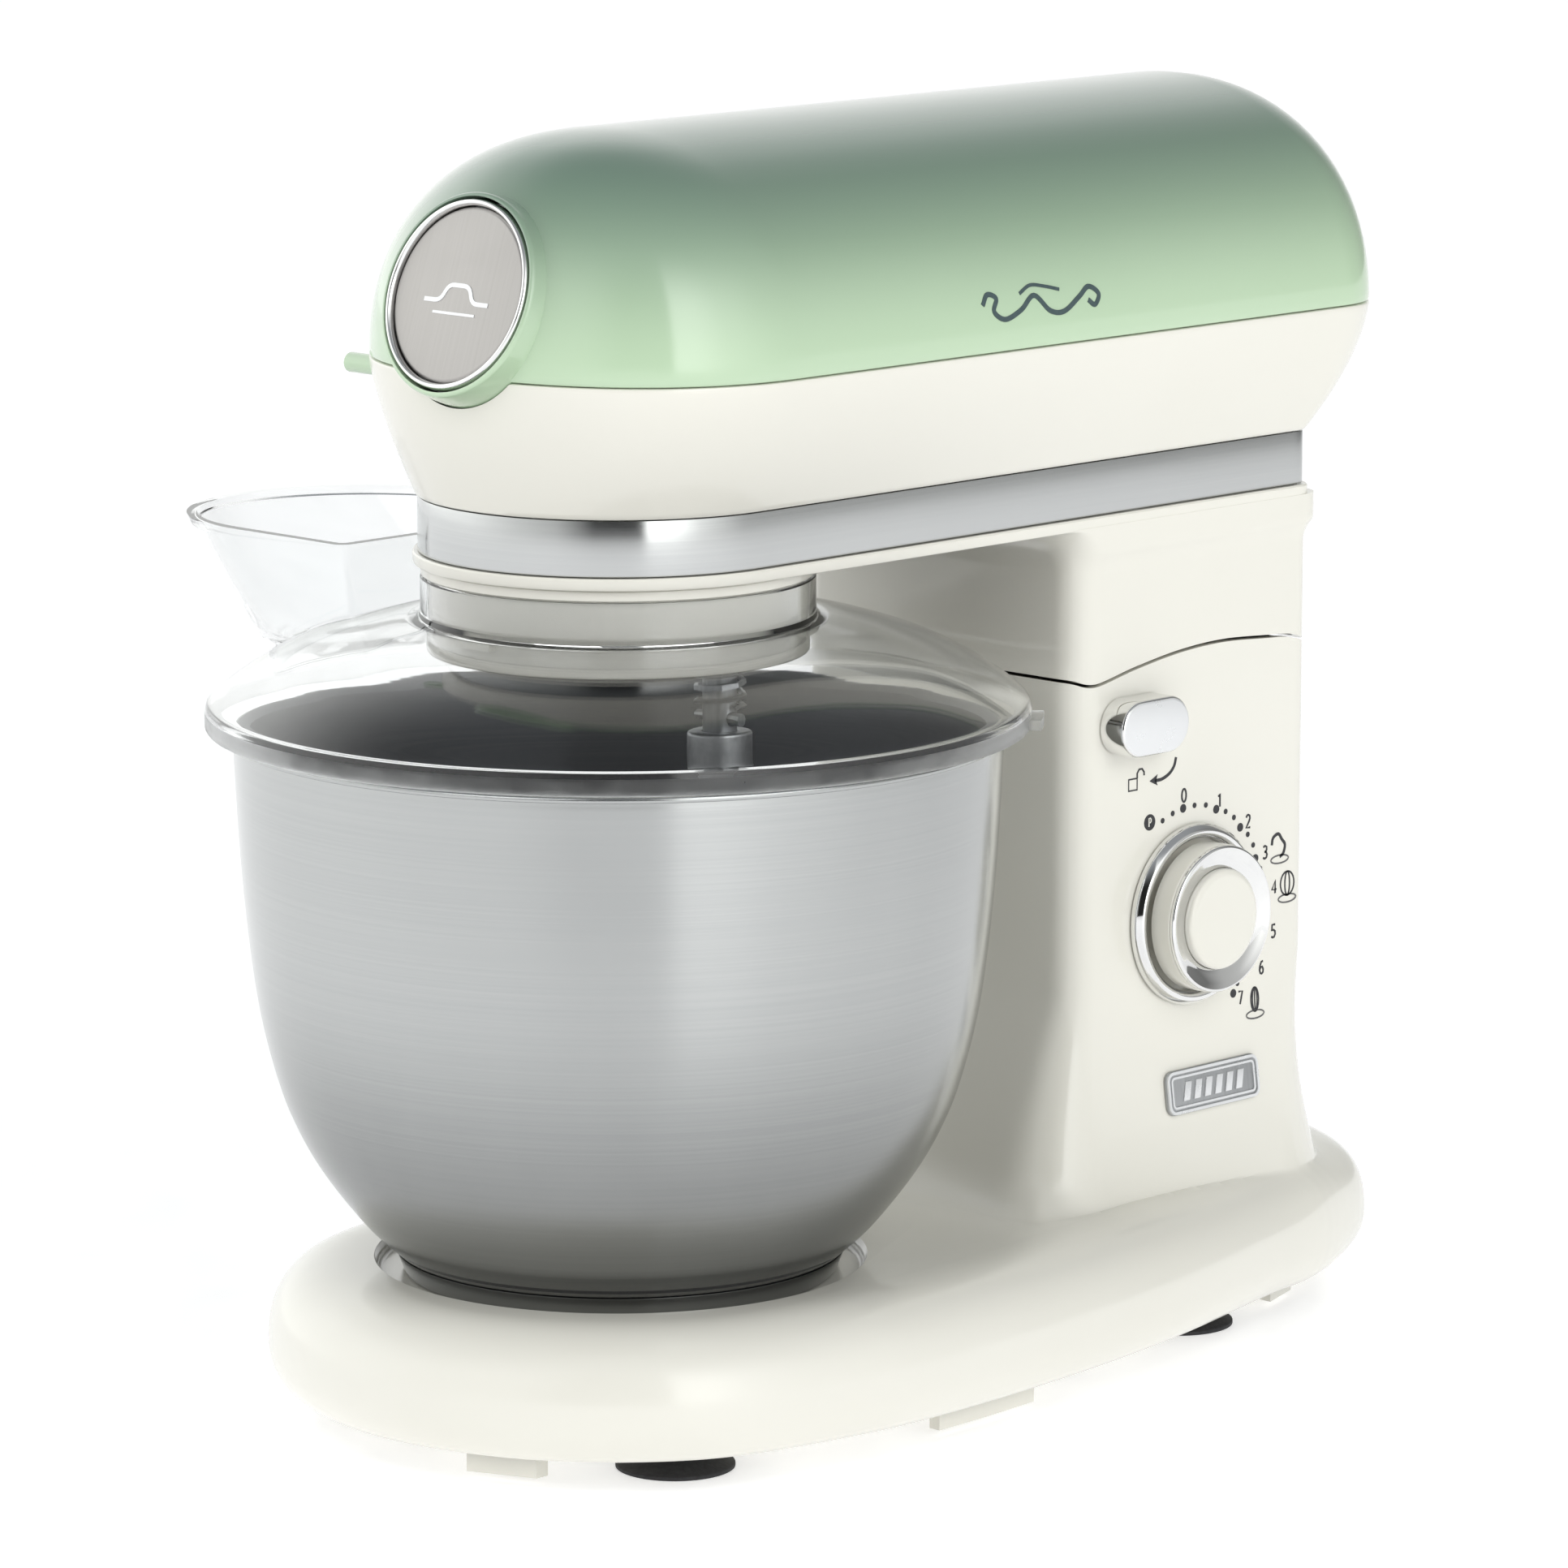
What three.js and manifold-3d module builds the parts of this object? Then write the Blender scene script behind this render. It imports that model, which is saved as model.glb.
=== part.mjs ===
// Stand mixer with a tilting head, planetary drive, turned bowl, splash guard and feed chute.
// Millimetres, +Z up. The nose points to -Y and the control side is +X.
import * as THREE from 'three';
import { mergeVertices } from 'three/addons/utils/BufferGeometryUtils.js';
import Module from 'manifold-3d';

const wasm = await Module();
wasm.setup();

// ---------------------------------------------------------------- driving dimensions
// Heights are over the table and plan positions are from the bowl's axis. The whole mixer is
// shifted at the end, so that its origin is under the middle of its bounding box.
const GAP = 0.3; // clearance between pieces that touch
const SKIN = 2.5; // wall of the head covers
const WALL = 3; // wall of the base and arm mouldings

const BASE_BOTTOM = 8.4;
const BASE_WIDEST = 22.6;
const BASE_TOP = 47;
const BASE_TUCK = 12; // how far the lower edge is tucked in under the widest line
const BASE_SHOULDER = 28; // width of the rounded shoulder
const CAVITY_TOP = BASE_TOP - WALL;

const COLUMN_HALF_WIDTH = 57.9;
const COLUMN_FRONT = 134;
const COLUMN_REAR = 240;
const COLUMN_FRONT_RADIUS = 10;
const COLUMN_REAR_RADIUS = 6;
const FLARE_START = 112; // the column widens below this height
const FLARE_DEPTH = 70;
const FLARE_SIDE = 9; // widening one flare depth further down
const FLARE_FRONT = 20;
const FLARE_REAR = 22;

const HINGE_Y = 222;
const HINGE_Z = 165;
const HINGE_ARC = 46; // radius of the joint line behind the hinge, about the hinge pin
const HINGE_PIN_RADIUS = 5;

const LIP_BOTTOM = 253;
const BAND_BOTTOM = 256.6;
const BAND_TOP = 272.9;
const BAND_RADIUS = 58;
const LIP_RADIUS = 59.5;
const SEAM_Z = 312.5; // joint between the pale shell and the coloured cover
const HEAD_TOP = 379;
const HEAD_HALF_WIDTH = 74;
const HEAD_FRONT = 65;
const HEAD_REAR_CENTRE = 236;
const HEAD_REAR_BULGE = 40;

const HUB_Y = -63.3; // middle of the round cap on the nose
const HUB_Z = 335.8;
const HUB_TILT = THREE.MathUtils.degToRad(18.6); // the cap looks slightly upwards
const HUB_SOCKET_RADIUS = 28.4;

const BOWL_RIM_RADIUS = 113.8;
const BOWL_RIM_TOP = 204.3;
const BOWL_WALL = 1.6;
const FOOT_RING_RADIUS = 66;

const GUARD_RADIUS = 120;
const GUARD_BOTTOM = 205.5;
const GUARD_TOP = 249.3;
const GUARD_WALL = 1.8;
const NECK_RADIUS = 57.4;
const COLLAR_INNER = 52.6;
const COLLAR_HOLE = 52.8; // hole in the arm's floor above the collar

const CHUTE_TOP = 255;
const CHUTE_INNER_X = -67;
const CHUTE_MIDDLE_Y = 5;
const CHUTE_HALF_LENGTH = 52;
const CHUTE_WALL = 2;

const PLANET_MODULE = 1.5;
const RING_TEETH = 54;
const PINION_TEETH = 15;
const PLANET_OFFSET = (PLANET_MODULE * (RING_TEETH - PINION_TEETH)) / 2; // 29.25
const TOOL_ANGLE = THREE.MathUtils.degToRad(46);
const TOOL_X = PLANET_OFFSET * Math.cos(TOOL_ANGLE);
const TOOL_Y = PLANET_OFFSET * Math.sin(TOOL_ANGLE);

const WORM_MODULE = 2;
const WHEEL_TEETH = 24;
const WHEEL_RADIUS = (WORM_MODULE * WHEEL_TEETH) / 2;
const WORM_RADIUS = 7;
const MOTOR_X = WHEEL_RADIUS + WORM_RADIUS;
const MOTOR_Z = 300;
const MOTOR_SHAFT_RADIUS = 4;

const PEG_Z = 308;
const KNOB_Y = 186;
const KNOB_Z = 129.9;
const LEVER_Y = 152.6;
const LEVER_Z = 192;
const LEVER_RADIUS = 8.6;
const LEVER_LENGTH = 12.8; // between the centres of its two round ends
const LEVER_FACE = 67.6; // how far out its face stands from the middle plane

const ORIGIN_X = -24; // bounding box middle, in the plan frame of the bowl's axis
const ORIGIN_Y = 88.4;

// ---------------------------------------------------------------- materials
function material(color, roughness, metalness, opacity = 1) {
  return new THREE.MeshStandardMaterial({
    color, roughness, metalness, opacity, transparent: opacity < 1,
  });
}
const creamPlastic = material(0xe9e5d8, 0.25, 0);
const greenPlastic = material(0xa6c8a4, 0.2, 0);
const clearPlastic = material(0xf4f6f6, 0.08, 0, 0.3);
const brushedSteel = material(0xb9bbbc, 0.35, 1);
const chrome = material(0xd9dadb, 0.08, 1);
const satinMetal = material(0xc4c0bd, 0.45, 1);
const darkSteel = material(0x55524f, 0.4, 1);
const blackRubber = material(0x1d1d20, 0.8, 0);
const castAluminium = material(0xa4a7aa, 0.5, 1);
const machinedSteel = material(0x9a9da0, 0.3, 1);
const copper = material(0xb06a3c, 0.35, 1);
const boardGreen = material(0x2c6b45, 0.6, 0);
const nylon = material(0xdcd7c6, 0.55, 0);

// ---------------------------------------------------------------- solids
function solidOf(geometry) {
  const bare = geometry.clone();
  bare.deleteAttribute('normal');
  bare.deleteAttribute('uv');
  const merged = mergeVertices(bare, 1e-4);
  const corners = merged.index.array;
  const made = (order) => {
    const triVerts = [];
    for (let i = 0; i < corners.length; i += 3) {
      const [a, b, c] = order.map((k) => corners[i + k]);
      if (a !== b && b !== c && c !== a) triVerts.push(a, b, c);
    }
    return new wasm.Manifold(new wasm.Mesh({
      numProp: 3,
      vertProperties: merged.attributes.position.array,
      triVerts: new Uint32Array(triVerts),
    }));
  };
  const solid = made([0, 1, 2]);
  return solid.volume() > 0 ? solid : made([0, 2, 1]);
}

function geometryOf(solid) {
  const mesh = solid.getMesh();
  const geometry = new THREE.BufferGeometry();
  geometry.setAttribute('position', new THREE.BufferAttribute(mesh.vertProperties, 3));
  geometry.setIndex(new THREE.BufferAttribute(mesh.triVerts, 1));
  geometry.computeVertexNormals();
  return geometry;
}

const join = (...solids) => solids.reduce((sum, next) => sum.add(next));
const cut = (body, ...tools) => tools.reduce((rest, tool) => rest.subtract(tool), body);

function box(x0, x1, y0, y1, z0, z1) {
  const geometry = new THREE.BoxGeometry(x1 - x0, y1 - y0, z1 - z0);
  geometry.translate((x0 + x1) / 2, (y0 + y1) / 2, (z0 + z1) / 2);
  return solidOf(geometry);
}

// A profile of [radius, height] points turned about the Z axis.
function turned(profile, segments = 32) {
  const points = profile.map(([radius, height]) => new THREE.Vector2(radius, height));
  const geometry = new THREE.LatheGeometry(points, segments);
  geometry.rotateX(Math.PI / 2);
  return solidOf(geometry);
}

const closed = (profile) => [...profile, profile[0]];
const discProfile = (r, z0, z1) => [[0, z0], [r, z0], [r, z1], [0, z1]];
const ringProfile = (r0, r1, z0, z1) => closed([[r0, z0], [r1, z0], [r1, z1], [r0, z1]]);

function along(axis, geometry) {
  if (axis === 'x') geometry.rotateY(Math.PI / 2);
  if (axis === 'y') geometry.rotateX(-Math.PI / 2);
  return geometry;
}

// A straight round bar along an axis, from one coordinate to another, through (u, v).
function bar(axis, radius, from, to, u, v, segments = 16) {
  const geometry = new THREE.CylinderGeometry(radius, radius, to - from, segments);
  geometry.rotateX(Math.PI / 2);
  geometry.translate(0, 0, (from + to) / 2);
  along(axis, geometry);
  const place = { x: [0, u, v], y: [u, 0, v], z: [u, v, 0] }[axis];
  geometry.translate(...place);
  return solidOf(geometry);
}

const sleeve = (axis, outer, inner, from, to, u, v, segments = 16) =>
  cut(bar(axis, outer, from, to, u, v, segments), bar(axis, inner, from - 1, to + 1, u, v, segments));

// A flat outline in (y, z), pushed along X.
function slice(shape, x0, x1, curveSegments = 6) {
  const geometry = new THREE.ExtrudeGeometry(shape, { depth: x1 - x0, bevelEnabled: false, curveSegments });
  geometry.applyMatrix4(new THREE.Matrix4().set(0, 0, 1, x0, 1, 0, 0, 0, 0, 1, 0, 0, 0, 0, 0, 1));
  return solidOf(geometry);
}

// A flat outline in (x, y), pushed up Z.
function slab(shape, z0, z1, curveSegments = 6) {
  const geometry = new THREE.ExtrudeGeometry(shape, { depth: z1 - z0, bevelEnabled: false, curveSegments });
  geometry.translate(0, 0, z0);
  return solidOf(geometry);
}

// A closed skin over a stack of rings with equal numbers of points, lowest ring first.
function skin(rings) {
  const around = rings[0].length;
  const geometry = new THREE.CylinderGeometry(1, 1, 1, around, rings.length - 1);
  const position = geometry.attributes.position;
  const middleOf = (ring) => ring.reduce((sum, p) => sum.add(p), new THREE.Vector3()).divideScalar(around);
  for (let i = 0; i < position.count; i++) {
    const x = position.getX(i);
    const z = position.getZ(i);
    const ring = rings[Math.round((position.getY(i) + 0.5) * (rings.length - 1))];
    const step = Math.round((Math.atan2(x, z) / (2 * Math.PI) + 1) * around) % around;
    const point = Math.hypot(x, z) < 0.5 ? middleOf(ring) : ring[step];
    position.setXYZ(i, point.x, point.y, point.z);
  }
  return solidOf(geometry);
}

const mixer = new THREE.Group();
mixer.name = 'stand_mixer';

function body(name) {
  const group = new THREE.Group();
  group.name = name;
  mixer.add(group);
  return group;
}

function put(group, name, solid, look) {
  const mesh = new THREE.Mesh(geometryOf(solid), look);
  mesh.name = name;
  group.add(mesh);
  return mesh;
}

// ---------------------------------------------------------------- outlines
// The base's widest outline, anticlockwise from the front, with its inward offsets.
function baseOutline(inset, z, count = 36) {
  const rightSide = [
    [0, -104], [52, -90], [90, -52], [104, 0], [106, 33], [103, 90],
    [95, 147], [80, 209], [72, 236], [56, 272], [30, 288], [0, 292],
  ];
  const leftSide = rightSide.slice(1, -1).reverse().map(([x, y]) => [-x, y]);
  const points = [...rightSide, ...leftSide].map(([x, y]) => new THREE.Vector3(x, y, 0));
  const curve = new THREE.CatmullRomCurve3(points, true, 'centripetal');
  const ring = curve.getSpacedPoints(count).slice(0, count);
  return ring.map((point, i) => {
    const before = ring[(i + count - 1) % count];
    const after = ring[(i + 1) % count];
    const tangent = after.clone().sub(before).normalize();
    return new THREE.Vector3(point.x - tangent.y * inset, point.y + tangent.x * inset, z);
  });
}

function baseInset(z) {
  if (z < BASE_WIDEST) {
    const down = (BASE_WIDEST - z) / (BASE_WIDEST - BASE_BOTTOM);
    return BASE_TUCK * (1 - Math.sqrt(Math.max(0, 1 - down ** 2)));
  }
  const up = Math.min(1, (z - BASE_WIDEST) / (BASE_TOP - BASE_WIDEST));
  return BASE_SHOULDER * (1 - (1 - up ** 2.5) ** 0.4);
}

// A rectangle with rounded corners, anticlockwise from the left of its front edge.
function roundedRing(halfWidth, front, rear, frontRadius, rearRadius, z, steps = 3) {
  const corners = [
    [-halfWidth + frontRadius, front + frontRadius, frontRadius, 180],
    [halfWidth - frontRadius, front + frontRadius, frontRadius, 270],
    [halfWidth - rearRadius, rear - rearRadius, rearRadius, 0],
    [-halfWidth + rearRadius, rear - rearRadius, rearRadius, 90],
  ];
  return corners.flatMap(([x, y, radius, start]) =>
    Array.from({ length: steps + 1 }, (_, i) => {
      const turn = THREE.MathUtils.degToRad(start + (90 * i) / steps);
      return new THREE.Vector3(x + radius * Math.cos(turn), y + radius * Math.sin(turn), z);
    }));
}

const flareAt = (z) => Math.min(1, Math.max(0, (FLARE_START - z) / FLARE_DEPTH));

function columnRing(z, inset = 0) {
  const down = flareAt(z);
  return roundedRing(
    COLUMN_HALF_WIDTH + FLARE_SIDE * down ** 2 - inset,
    COLUMN_FRONT - FLARE_FRONT * down ** 1.2 + inset,
    COLUMN_REAR + FLARE_REAR * down ** 1.8 - inset,
    COLUMN_FRONT_RADIUS + 14 * down - inset,
    COLUMN_REAR_RADIUS + 34 * down ** 1.3 - inset, z,
  );
}

// A ring of the head: half a superellipse at the front, half at the rear, straight sides.
function headRing(z, { width, front, rearCentre, rear, frontPower, rearPower }, steps = 10) {
  const half = (start, centreY, depth, power) =>
    Array.from({ length: steps + 1 }, (_, i) => {
      const turn = Math.PI * (start + i / steps);
      const c = Math.cos(turn);
      const s = Math.sin(turn);
      return new THREE.Vector3(
        width * Math.sign(c) * Math.abs(c) ** (2 / power),
        centreY + depth * Math.sign(s) * Math.abs(s) ** (2 / power), z);
    });
  return [...half(1, 0, front, frontPower), ...half(0, rearCentre, rear, rearPower)];
}

// The head above its seam: climb is 0 at the seam and 90 degrees at the top, inset moves it inwards.
function coverRing(climb, inset) {
  const rise = Math.sin(THREE.MathUtils.degToRad(climb)) ** (2 / 2.15);
  const left = Math.cos(THREE.MathUtils.degToRad(climb));
  return headRing(SEAM_Z + rise * (HEAD_TOP - inset - SEAM_Z), {
    width: (HEAD_HALF_WIDTH - inset) * left ** (2 / 2.15),
    front: (HEAD_FRONT - inset) * left ** (2 / 2.6),
    rearCentre: HEAD_REAR_CENTRE,
    rear: (HEAD_REAR_BULGE - inset) * left ** (2 / 2.3),
    frontPower: 2.2,
    rearPower: 2.2,
  });
}

// The head between the steel band and the seam: t is 0 at the band and 1 at the seam.
function shellRing(t, z, inset) {
  const swell = 1 - (1 - t) ** 1.4;
  const mix = (low, high) => low + (high - low) * swell;
  return headRing(z, {
    width: mix(BAND_RADIUS + 0.6, HEAD_HALF_WIDTH) - inset,
    front: mix(BAND_RADIUS + 0.6, HEAD_FRONT) - inset,
    rearCentre: mix(231, HEAD_REAR_CENTRE),
    rear: mix(12, HEAD_REAR_BULGE) - inset,
    frontPower: mix(2, 2.2),
    rearPower: mix(3.5, 2.2),
  });
}

// The straight-sided outline that the band, the lip and the arm share.
const bandRing = (z, radius) => headRing(z, {
  width: radius, front: radius, rearCentre: 231, rear: radius - 46, frontPower: 2, rearPower: 3.5,
});

// The joint line between the fixed column and the tilting arm, as (y, z) points.
function jointLine(shift) {
  const crest = new THREE.SplineCurve([
    [120, 207], [134, 207], [142, 205.3], [160, 208.6], [180, 211.4], [200, 212.3],
    [HINGE_Y, HINGE_Z + HINGE_ARC],
  ].map(([y, z]) => new THREE.Vector2(y, z + shift)));
  const behind = [1, 2, 3].map((i) => {
    const turn = (Math.PI / 2) * (1 - i * 0.1);
    const radius = HINGE_ARC + shift;
    return new THREE.Vector2(HINGE_Y + radius * Math.cos(turn), HINGE_Z + radius * Math.sin(turn));
  });
  return [...crest.getPoints(18), ...behind];
}

// Everything over, or under, the joint line in the column's plan.
function jointCutter(shift, farZ) {
  const line = jointLine(shift);
  const ends = [[270, line.at(-1).y], [270, farZ], [90, farZ], [90, line[0].y]];
  return slice(new THREE.Shape([...line, ...ends.map(([y, z]) => new THREE.Vector2(y, z))]), -90, 90);
}

// The guard's outer surface as [radius, height], from the skirt up to the neck.
const guardDome = [
  [GUARD_RADIUS, 210.5], [118.6, 213.4], [112, 218.6], [104, 223.6],
  [94, 228.4], [82, 232.4], [70, 235.4], [60.5, 237],
];

// ---------------------------------------------------------------- base and column
function pebble(inset, levels) {
  return skin(levels.map((z) => baseOutline(baseInset(z) + inset, z)));
}

const FOOT_PLACES = [[-57, -34], [57, -34], [-51, 189], [51, 189]];
const SCREW_PLACES = [[-62, 40], [62, 40], [-70, 118], [70, 118]];
const CORNER_NAMES = ['front_left', 'front_right', 'rear_left', 'rear_right'];

function makeBase() {
  const base = body('base');

  const outside = join(
    pebble(0, [BASE_BOTTOM, 10.5, 15, BASE_WIDEST, 32, 39, 43.5, 46, BASE_TOP]),
    skin([30, 42, 52, 64, 78, 94, FLARE_START, 220].map((z) => columnRing(z))),
  );
  const inside = join(
    skin([BASE_BOTTOM - 1, 30, 39, 42, CAVITY_TOP].map((z) =>
      baseOutline(Math.max(baseInset(Math.max(z, BASE_BOTTOM)), baseInset(z + WALL)) + WALL, z))),
    skin([31, 42, 52, 64, 78, 94, FLARE_START, 221].map((z) => columnRing(z, WALL))),
  );
  const bosses = SCREW_PLACES.map(([x, y]) => bar('z', 5, 12, CAVITY_TOP + 1, x, y, 12));
  const bossHoles = SCREW_PLACES.map(([x, y]) => bar('z', 2.2, 11, 22, x, y, 12));
  const shell = cut(
    join(cut(outside, inside), ...bosses), ...bossHoles,
    jointCutter(-0.5, 260),
    turned(discProfile(71, 43, 60)), // dish for the bowl's foot
    bar('z', 20, 30, 60, 0, 0), // the seat's spigot passes through here
    bar('x', 7, 40, 80, KNOB_Y, KNOB_Z),
    bar('x', 4.6, 40, 80, LEVER_Y, LEVER_Z),
    bar('y', 6, 260, 300, 0, 24),
  );
  // the dish goes through the top wall, so a round tray closes it from below
  const tray = turned(closed([[20, 39.5], [76, 39.5], [76, 45], [71, 45], [71, 43], [20, 43]]));
  put(base, 'base_shell', join(shell, tray), creamPlastic);

  const plateInset = BASE_TUCK + WALL + GAP;
  const sheet = skin([BASE_BOTTOM + GAP, BASE_BOTTOM + WALL].map((z) => baseOutline(plateInset, z)));
  const tabZone = join(
    box(24, 44, -120, -40, 2, 9), box(-76, -52, -90, -40, 2, 9), // front
    box(60, 120, 41, 84, 2, 9), box(-120, -60, 41, 84, 2, 9), // sides
    box(40, 80, 222, 238, 2, 9), box(-80, -40, 222, 238, 2, 9), // rear
  );
  const edge = cut(
    skin([2, BASE_BOTTOM + 1].map((z) => baseOutline(plateInset, z))),
    skin([1, BASE_BOTTOM + 2].map((z) => baseOutline(plateInset + 4, z))),
  );
  const plateHoles = SCREW_PLACES.map(([x, y]) => bar('z', 2.2, 5, 15, x, y, 12));
  put(base, 'base_plate', cut(join(sheet, edge.intersect(tabZone)), ...plateHoles), creamPlastic);

  const footProfile = [
    [0, 2.2], [10, 1.6], [15.5, 0], [17.3, 0], [17.3, 1.2], [11, 4.2], [9, BASE_BOTTOM], [0, BASE_BOTTOM],
  ];
  const screwProfile = [[0, 5.4], [4, 5.4], [4, 8.2], [1.9, 8.2], [1.9, 20], [0, 20]];
  CORNER_NAMES.forEach((corner, i) => {
    const foot = put(base, `suction_foot_${corner}`, turned(footProfile, 24), blackRubber);
    foot.position.set(FOOT_PLACES[i][0], FOOT_PLACES[i][1], 0);
    const screw = put(base, `base_screw_${corner}`, turned(screwProfile, 12), machinedSteel);
    screw.position.set(SCREW_PLACES[i][0], SCREW_PLACES[i][1], 0);
  });

  const seatLugs = [0, 120, 240].map((turn) => lug(57, 61, 46.8, 48.6, turn, 24));
  const seat = join(turned([[0, 36], [19, 36], [19, 43.4], [58, 43.4], [58, 48.6], [0, 48.6]]), ...seatLugs);
  put(base, 'bowl_seat', seat, satinMetal);

  const bezel = closed([[23.6, 58.5], [27.9, 58.5], [27.9, 60.4], [26.4, 62.2], [24.6, 62.2], [23.6, 61]]);
  put(base, 'dial_bezel', sideTurned(bezel, KNOB_Y, KNOB_Z), chrome);
  put(base, 'speed_switch', cut(
    join(bar('x', 16, 26, 48, KNOB_Y, KNOB_Z), bar('x', 6, 47, 53, KNOB_Y, KNOB_Z)),
    bar('x', 3.3, 43, 54, KNOB_Y, KNOB_Z, 12)), nylon);
  put(base, 'control_board', box(-40, 14, 150, 152, 58, 118), boardGreen);

  const ear = outline([[HINGE_Y - 14, 120], [HINGE_Y + 14, 120], [HINGE_Y + 11, 175], [HINGE_Y - 11, 175]]);
  const pinHole = bar('x', HINGE_PIN_RADIUS + GAP, -60, 60, HINGE_Y, HINGE_Z);
  const foot = box(-54.5, 54.5, HINGE_Y - 20, HINGE_Y + 10, 118, 121.5);
  const bracket = cut(join(foot, slice(ear, 40, 43), slice(ear, -43, -40)), pinHole);
  put(base, 'hinge_bracket', bracket, machinedSteel);
  put(base, 'hinge_pin', bar('x', HINGE_PIN_RADIUS, -46, 46, HINGE_Y, HINGE_Z), machinedSteel);

  const gland = turned(closed([[3, 0], [5.4, 0], [5.4, 7], [8, 7], [6.6, 11], [3, 11.5]]), 20);
  const inlet = put(base, 'cord_gland', gland, blackRubber);
  inlet.rotation.x = -Math.PI / 2;
  inlet.position.set(0, 285.4, 24);

  // the badge lies on the flared side of the column
  const badge = put(base, 'side_badge', slice(roundRect(42, 13.6, 3), 0, 1.4, 4), satinMetal);
  const badgeZ = 75.7;
  const down = flareAt(badgeZ);
  badge.position.set(COLUMN_HALF_WIDTH + FLARE_SIDE * down ** 2 + GAP, 193, badgeZ);
  badge.rotation.y = -Math.atan((2 * FLARE_SIDE * down) / FLARE_DEPTH);
}

const outline = (points) => new THREE.Shape(points.map(([u, v]) => new THREE.Vector2(u, v)));

// A flat outline with rounded corners, centred on the origin.
function roundRect(width, height, radius) {
  const shape = new THREE.Shape();
  const [w, h] = [width / 2 - radius, height / 2 - radius];
  shape.absarc(w, h, radius, 0, Math.PI / 2);
  shape.absarc(-w, h, radius, Math.PI / 2, Math.PI);
  shape.absarc(-w, -h, radius, Math.PI, 1.5 * Math.PI);
  shape.absarc(w, -h, radius, 1.5 * Math.PI, 2 * Math.PI);
  return shape;
}

// A block between two radii and two heights, spanning some degrees about a direction.
function lug(inner, outer, z0, z1, direction, span) {
  const middle = THREE.MathUtils.degToRad(direction);
  const half = THREE.MathUtils.degToRad(span / 2);
  const shape = new THREE.Shape();
  shape.absarc(0, 0, outer, middle - half, middle + half, false);
  shape.absarc(0, 0, inner, middle + half, middle - half, true);
  return slab(shape, z0, z1, 4);
}

// A profile of [radius, x] points turned about an axis along X through (y, z).
function sideTurned(profile, y, z, segments = 28) {
  const points = profile.map(([radius, x]) => new THREE.Vector2(radius, x));
  const geometry = new THREE.LatheGeometry(points, segments);
  geometry.rotateZ(-Math.PI / 2);
  geometry.translate(0, y, z);
  return solidOf(geometry);
}

// ---------------------------------------------------------------- gears
// One tooth as [share of the pitch, height in modules] pairs: root, flank, tip, flank, root.
const TOOTH = [[-0.31, -1], [-0.11, 0.7], [0.11, 0.7], [0.31, -1]];

// A gear's outline at height z: side is 1 for an outside gear and -1 for a ring gear.
function gearRing(teeth, module_, z, turn = 0, side = 1, tooth = TOOTH) {
  const pitchRadius = (module_ * teeth) / 2;
  const share = (2 * Math.PI) / teeth;
  return Array.from({ length: teeth }, (_, i) => i).flatMap((i) =>
    tooth.map(([across, height]) => {
      const radius = pitchRadius + side * height * module_;
      const angle = turn + share * (i + across);
      return new THREE.Vector3(radius * Math.cos(angle), radius * Math.sin(angle), z);
    }));
}

// A one-thread worm about the Z axis, starting at z = 0. The ridge faces the given side half way along.
const WORM_STEPS = 12; // around the worm, and along each lead
const WORM_THREAD = [[0.12, 0.7], [0.32, -1]]; // [share of a turn off the ridge's middle, height in modules]

function worm(levels, facing) {
  const [[flat, tip], [foot, root]] = WORM_THREAD;
  const rings = Array.from({ length: levels + 1 }, (_, level) =>
    Array.from({ length: WORM_STEPS }, (__, step) => {
      const share = (step - (level - levels / 2)) / WORM_STEPS - facing;
      const off = Math.abs(share - Math.round(share));
      const drop = Math.min(1, Math.max(0, (off - flat) / (foot - flat)));
      const radius = WORM_RADIUS + WORM_MODULE * (tip + (root - tip) * drop);
      const turn = (2 * Math.PI * step) / WORM_STEPS;
      const height = (level * Math.PI * WORM_MODULE) / WORM_STEPS;
      return new THREE.Vector3(radius * Math.cos(turn), radius * Math.sin(turn), height);
    }));
  return skin(rings);
}

// A round tube along a smooth curve through the given points.
function tube(points, radius, steps, sides = 8) {
  const path = new THREE.CatmullRomCurve3(points.map((p) => new THREE.Vector3(...p)), false, 'centripetal');
  const shape = new THREE.Shape();
  shape.absarc(0, 0, radius, 0, 2 * Math.PI);
  return solidOf(new THREE.ExtrudeGeometry(shape, { extrudePath: path, steps, curveSegments: sides / 2 }));
}

// A profile of [radius, distance out] points turned about the axis of the nose cap.
function noseTurned(profile, segments = 28) {
  const geometry = new THREE.LatheGeometry(profile.map(([r, out]) => new THREE.Vector2(r, out)), segments);
  geometry.rotateX(Math.PI - HUB_TILT);
  geometry.translate(0, HUB_Y, HUB_Z);
  return solidOf(geometry);
}

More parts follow.
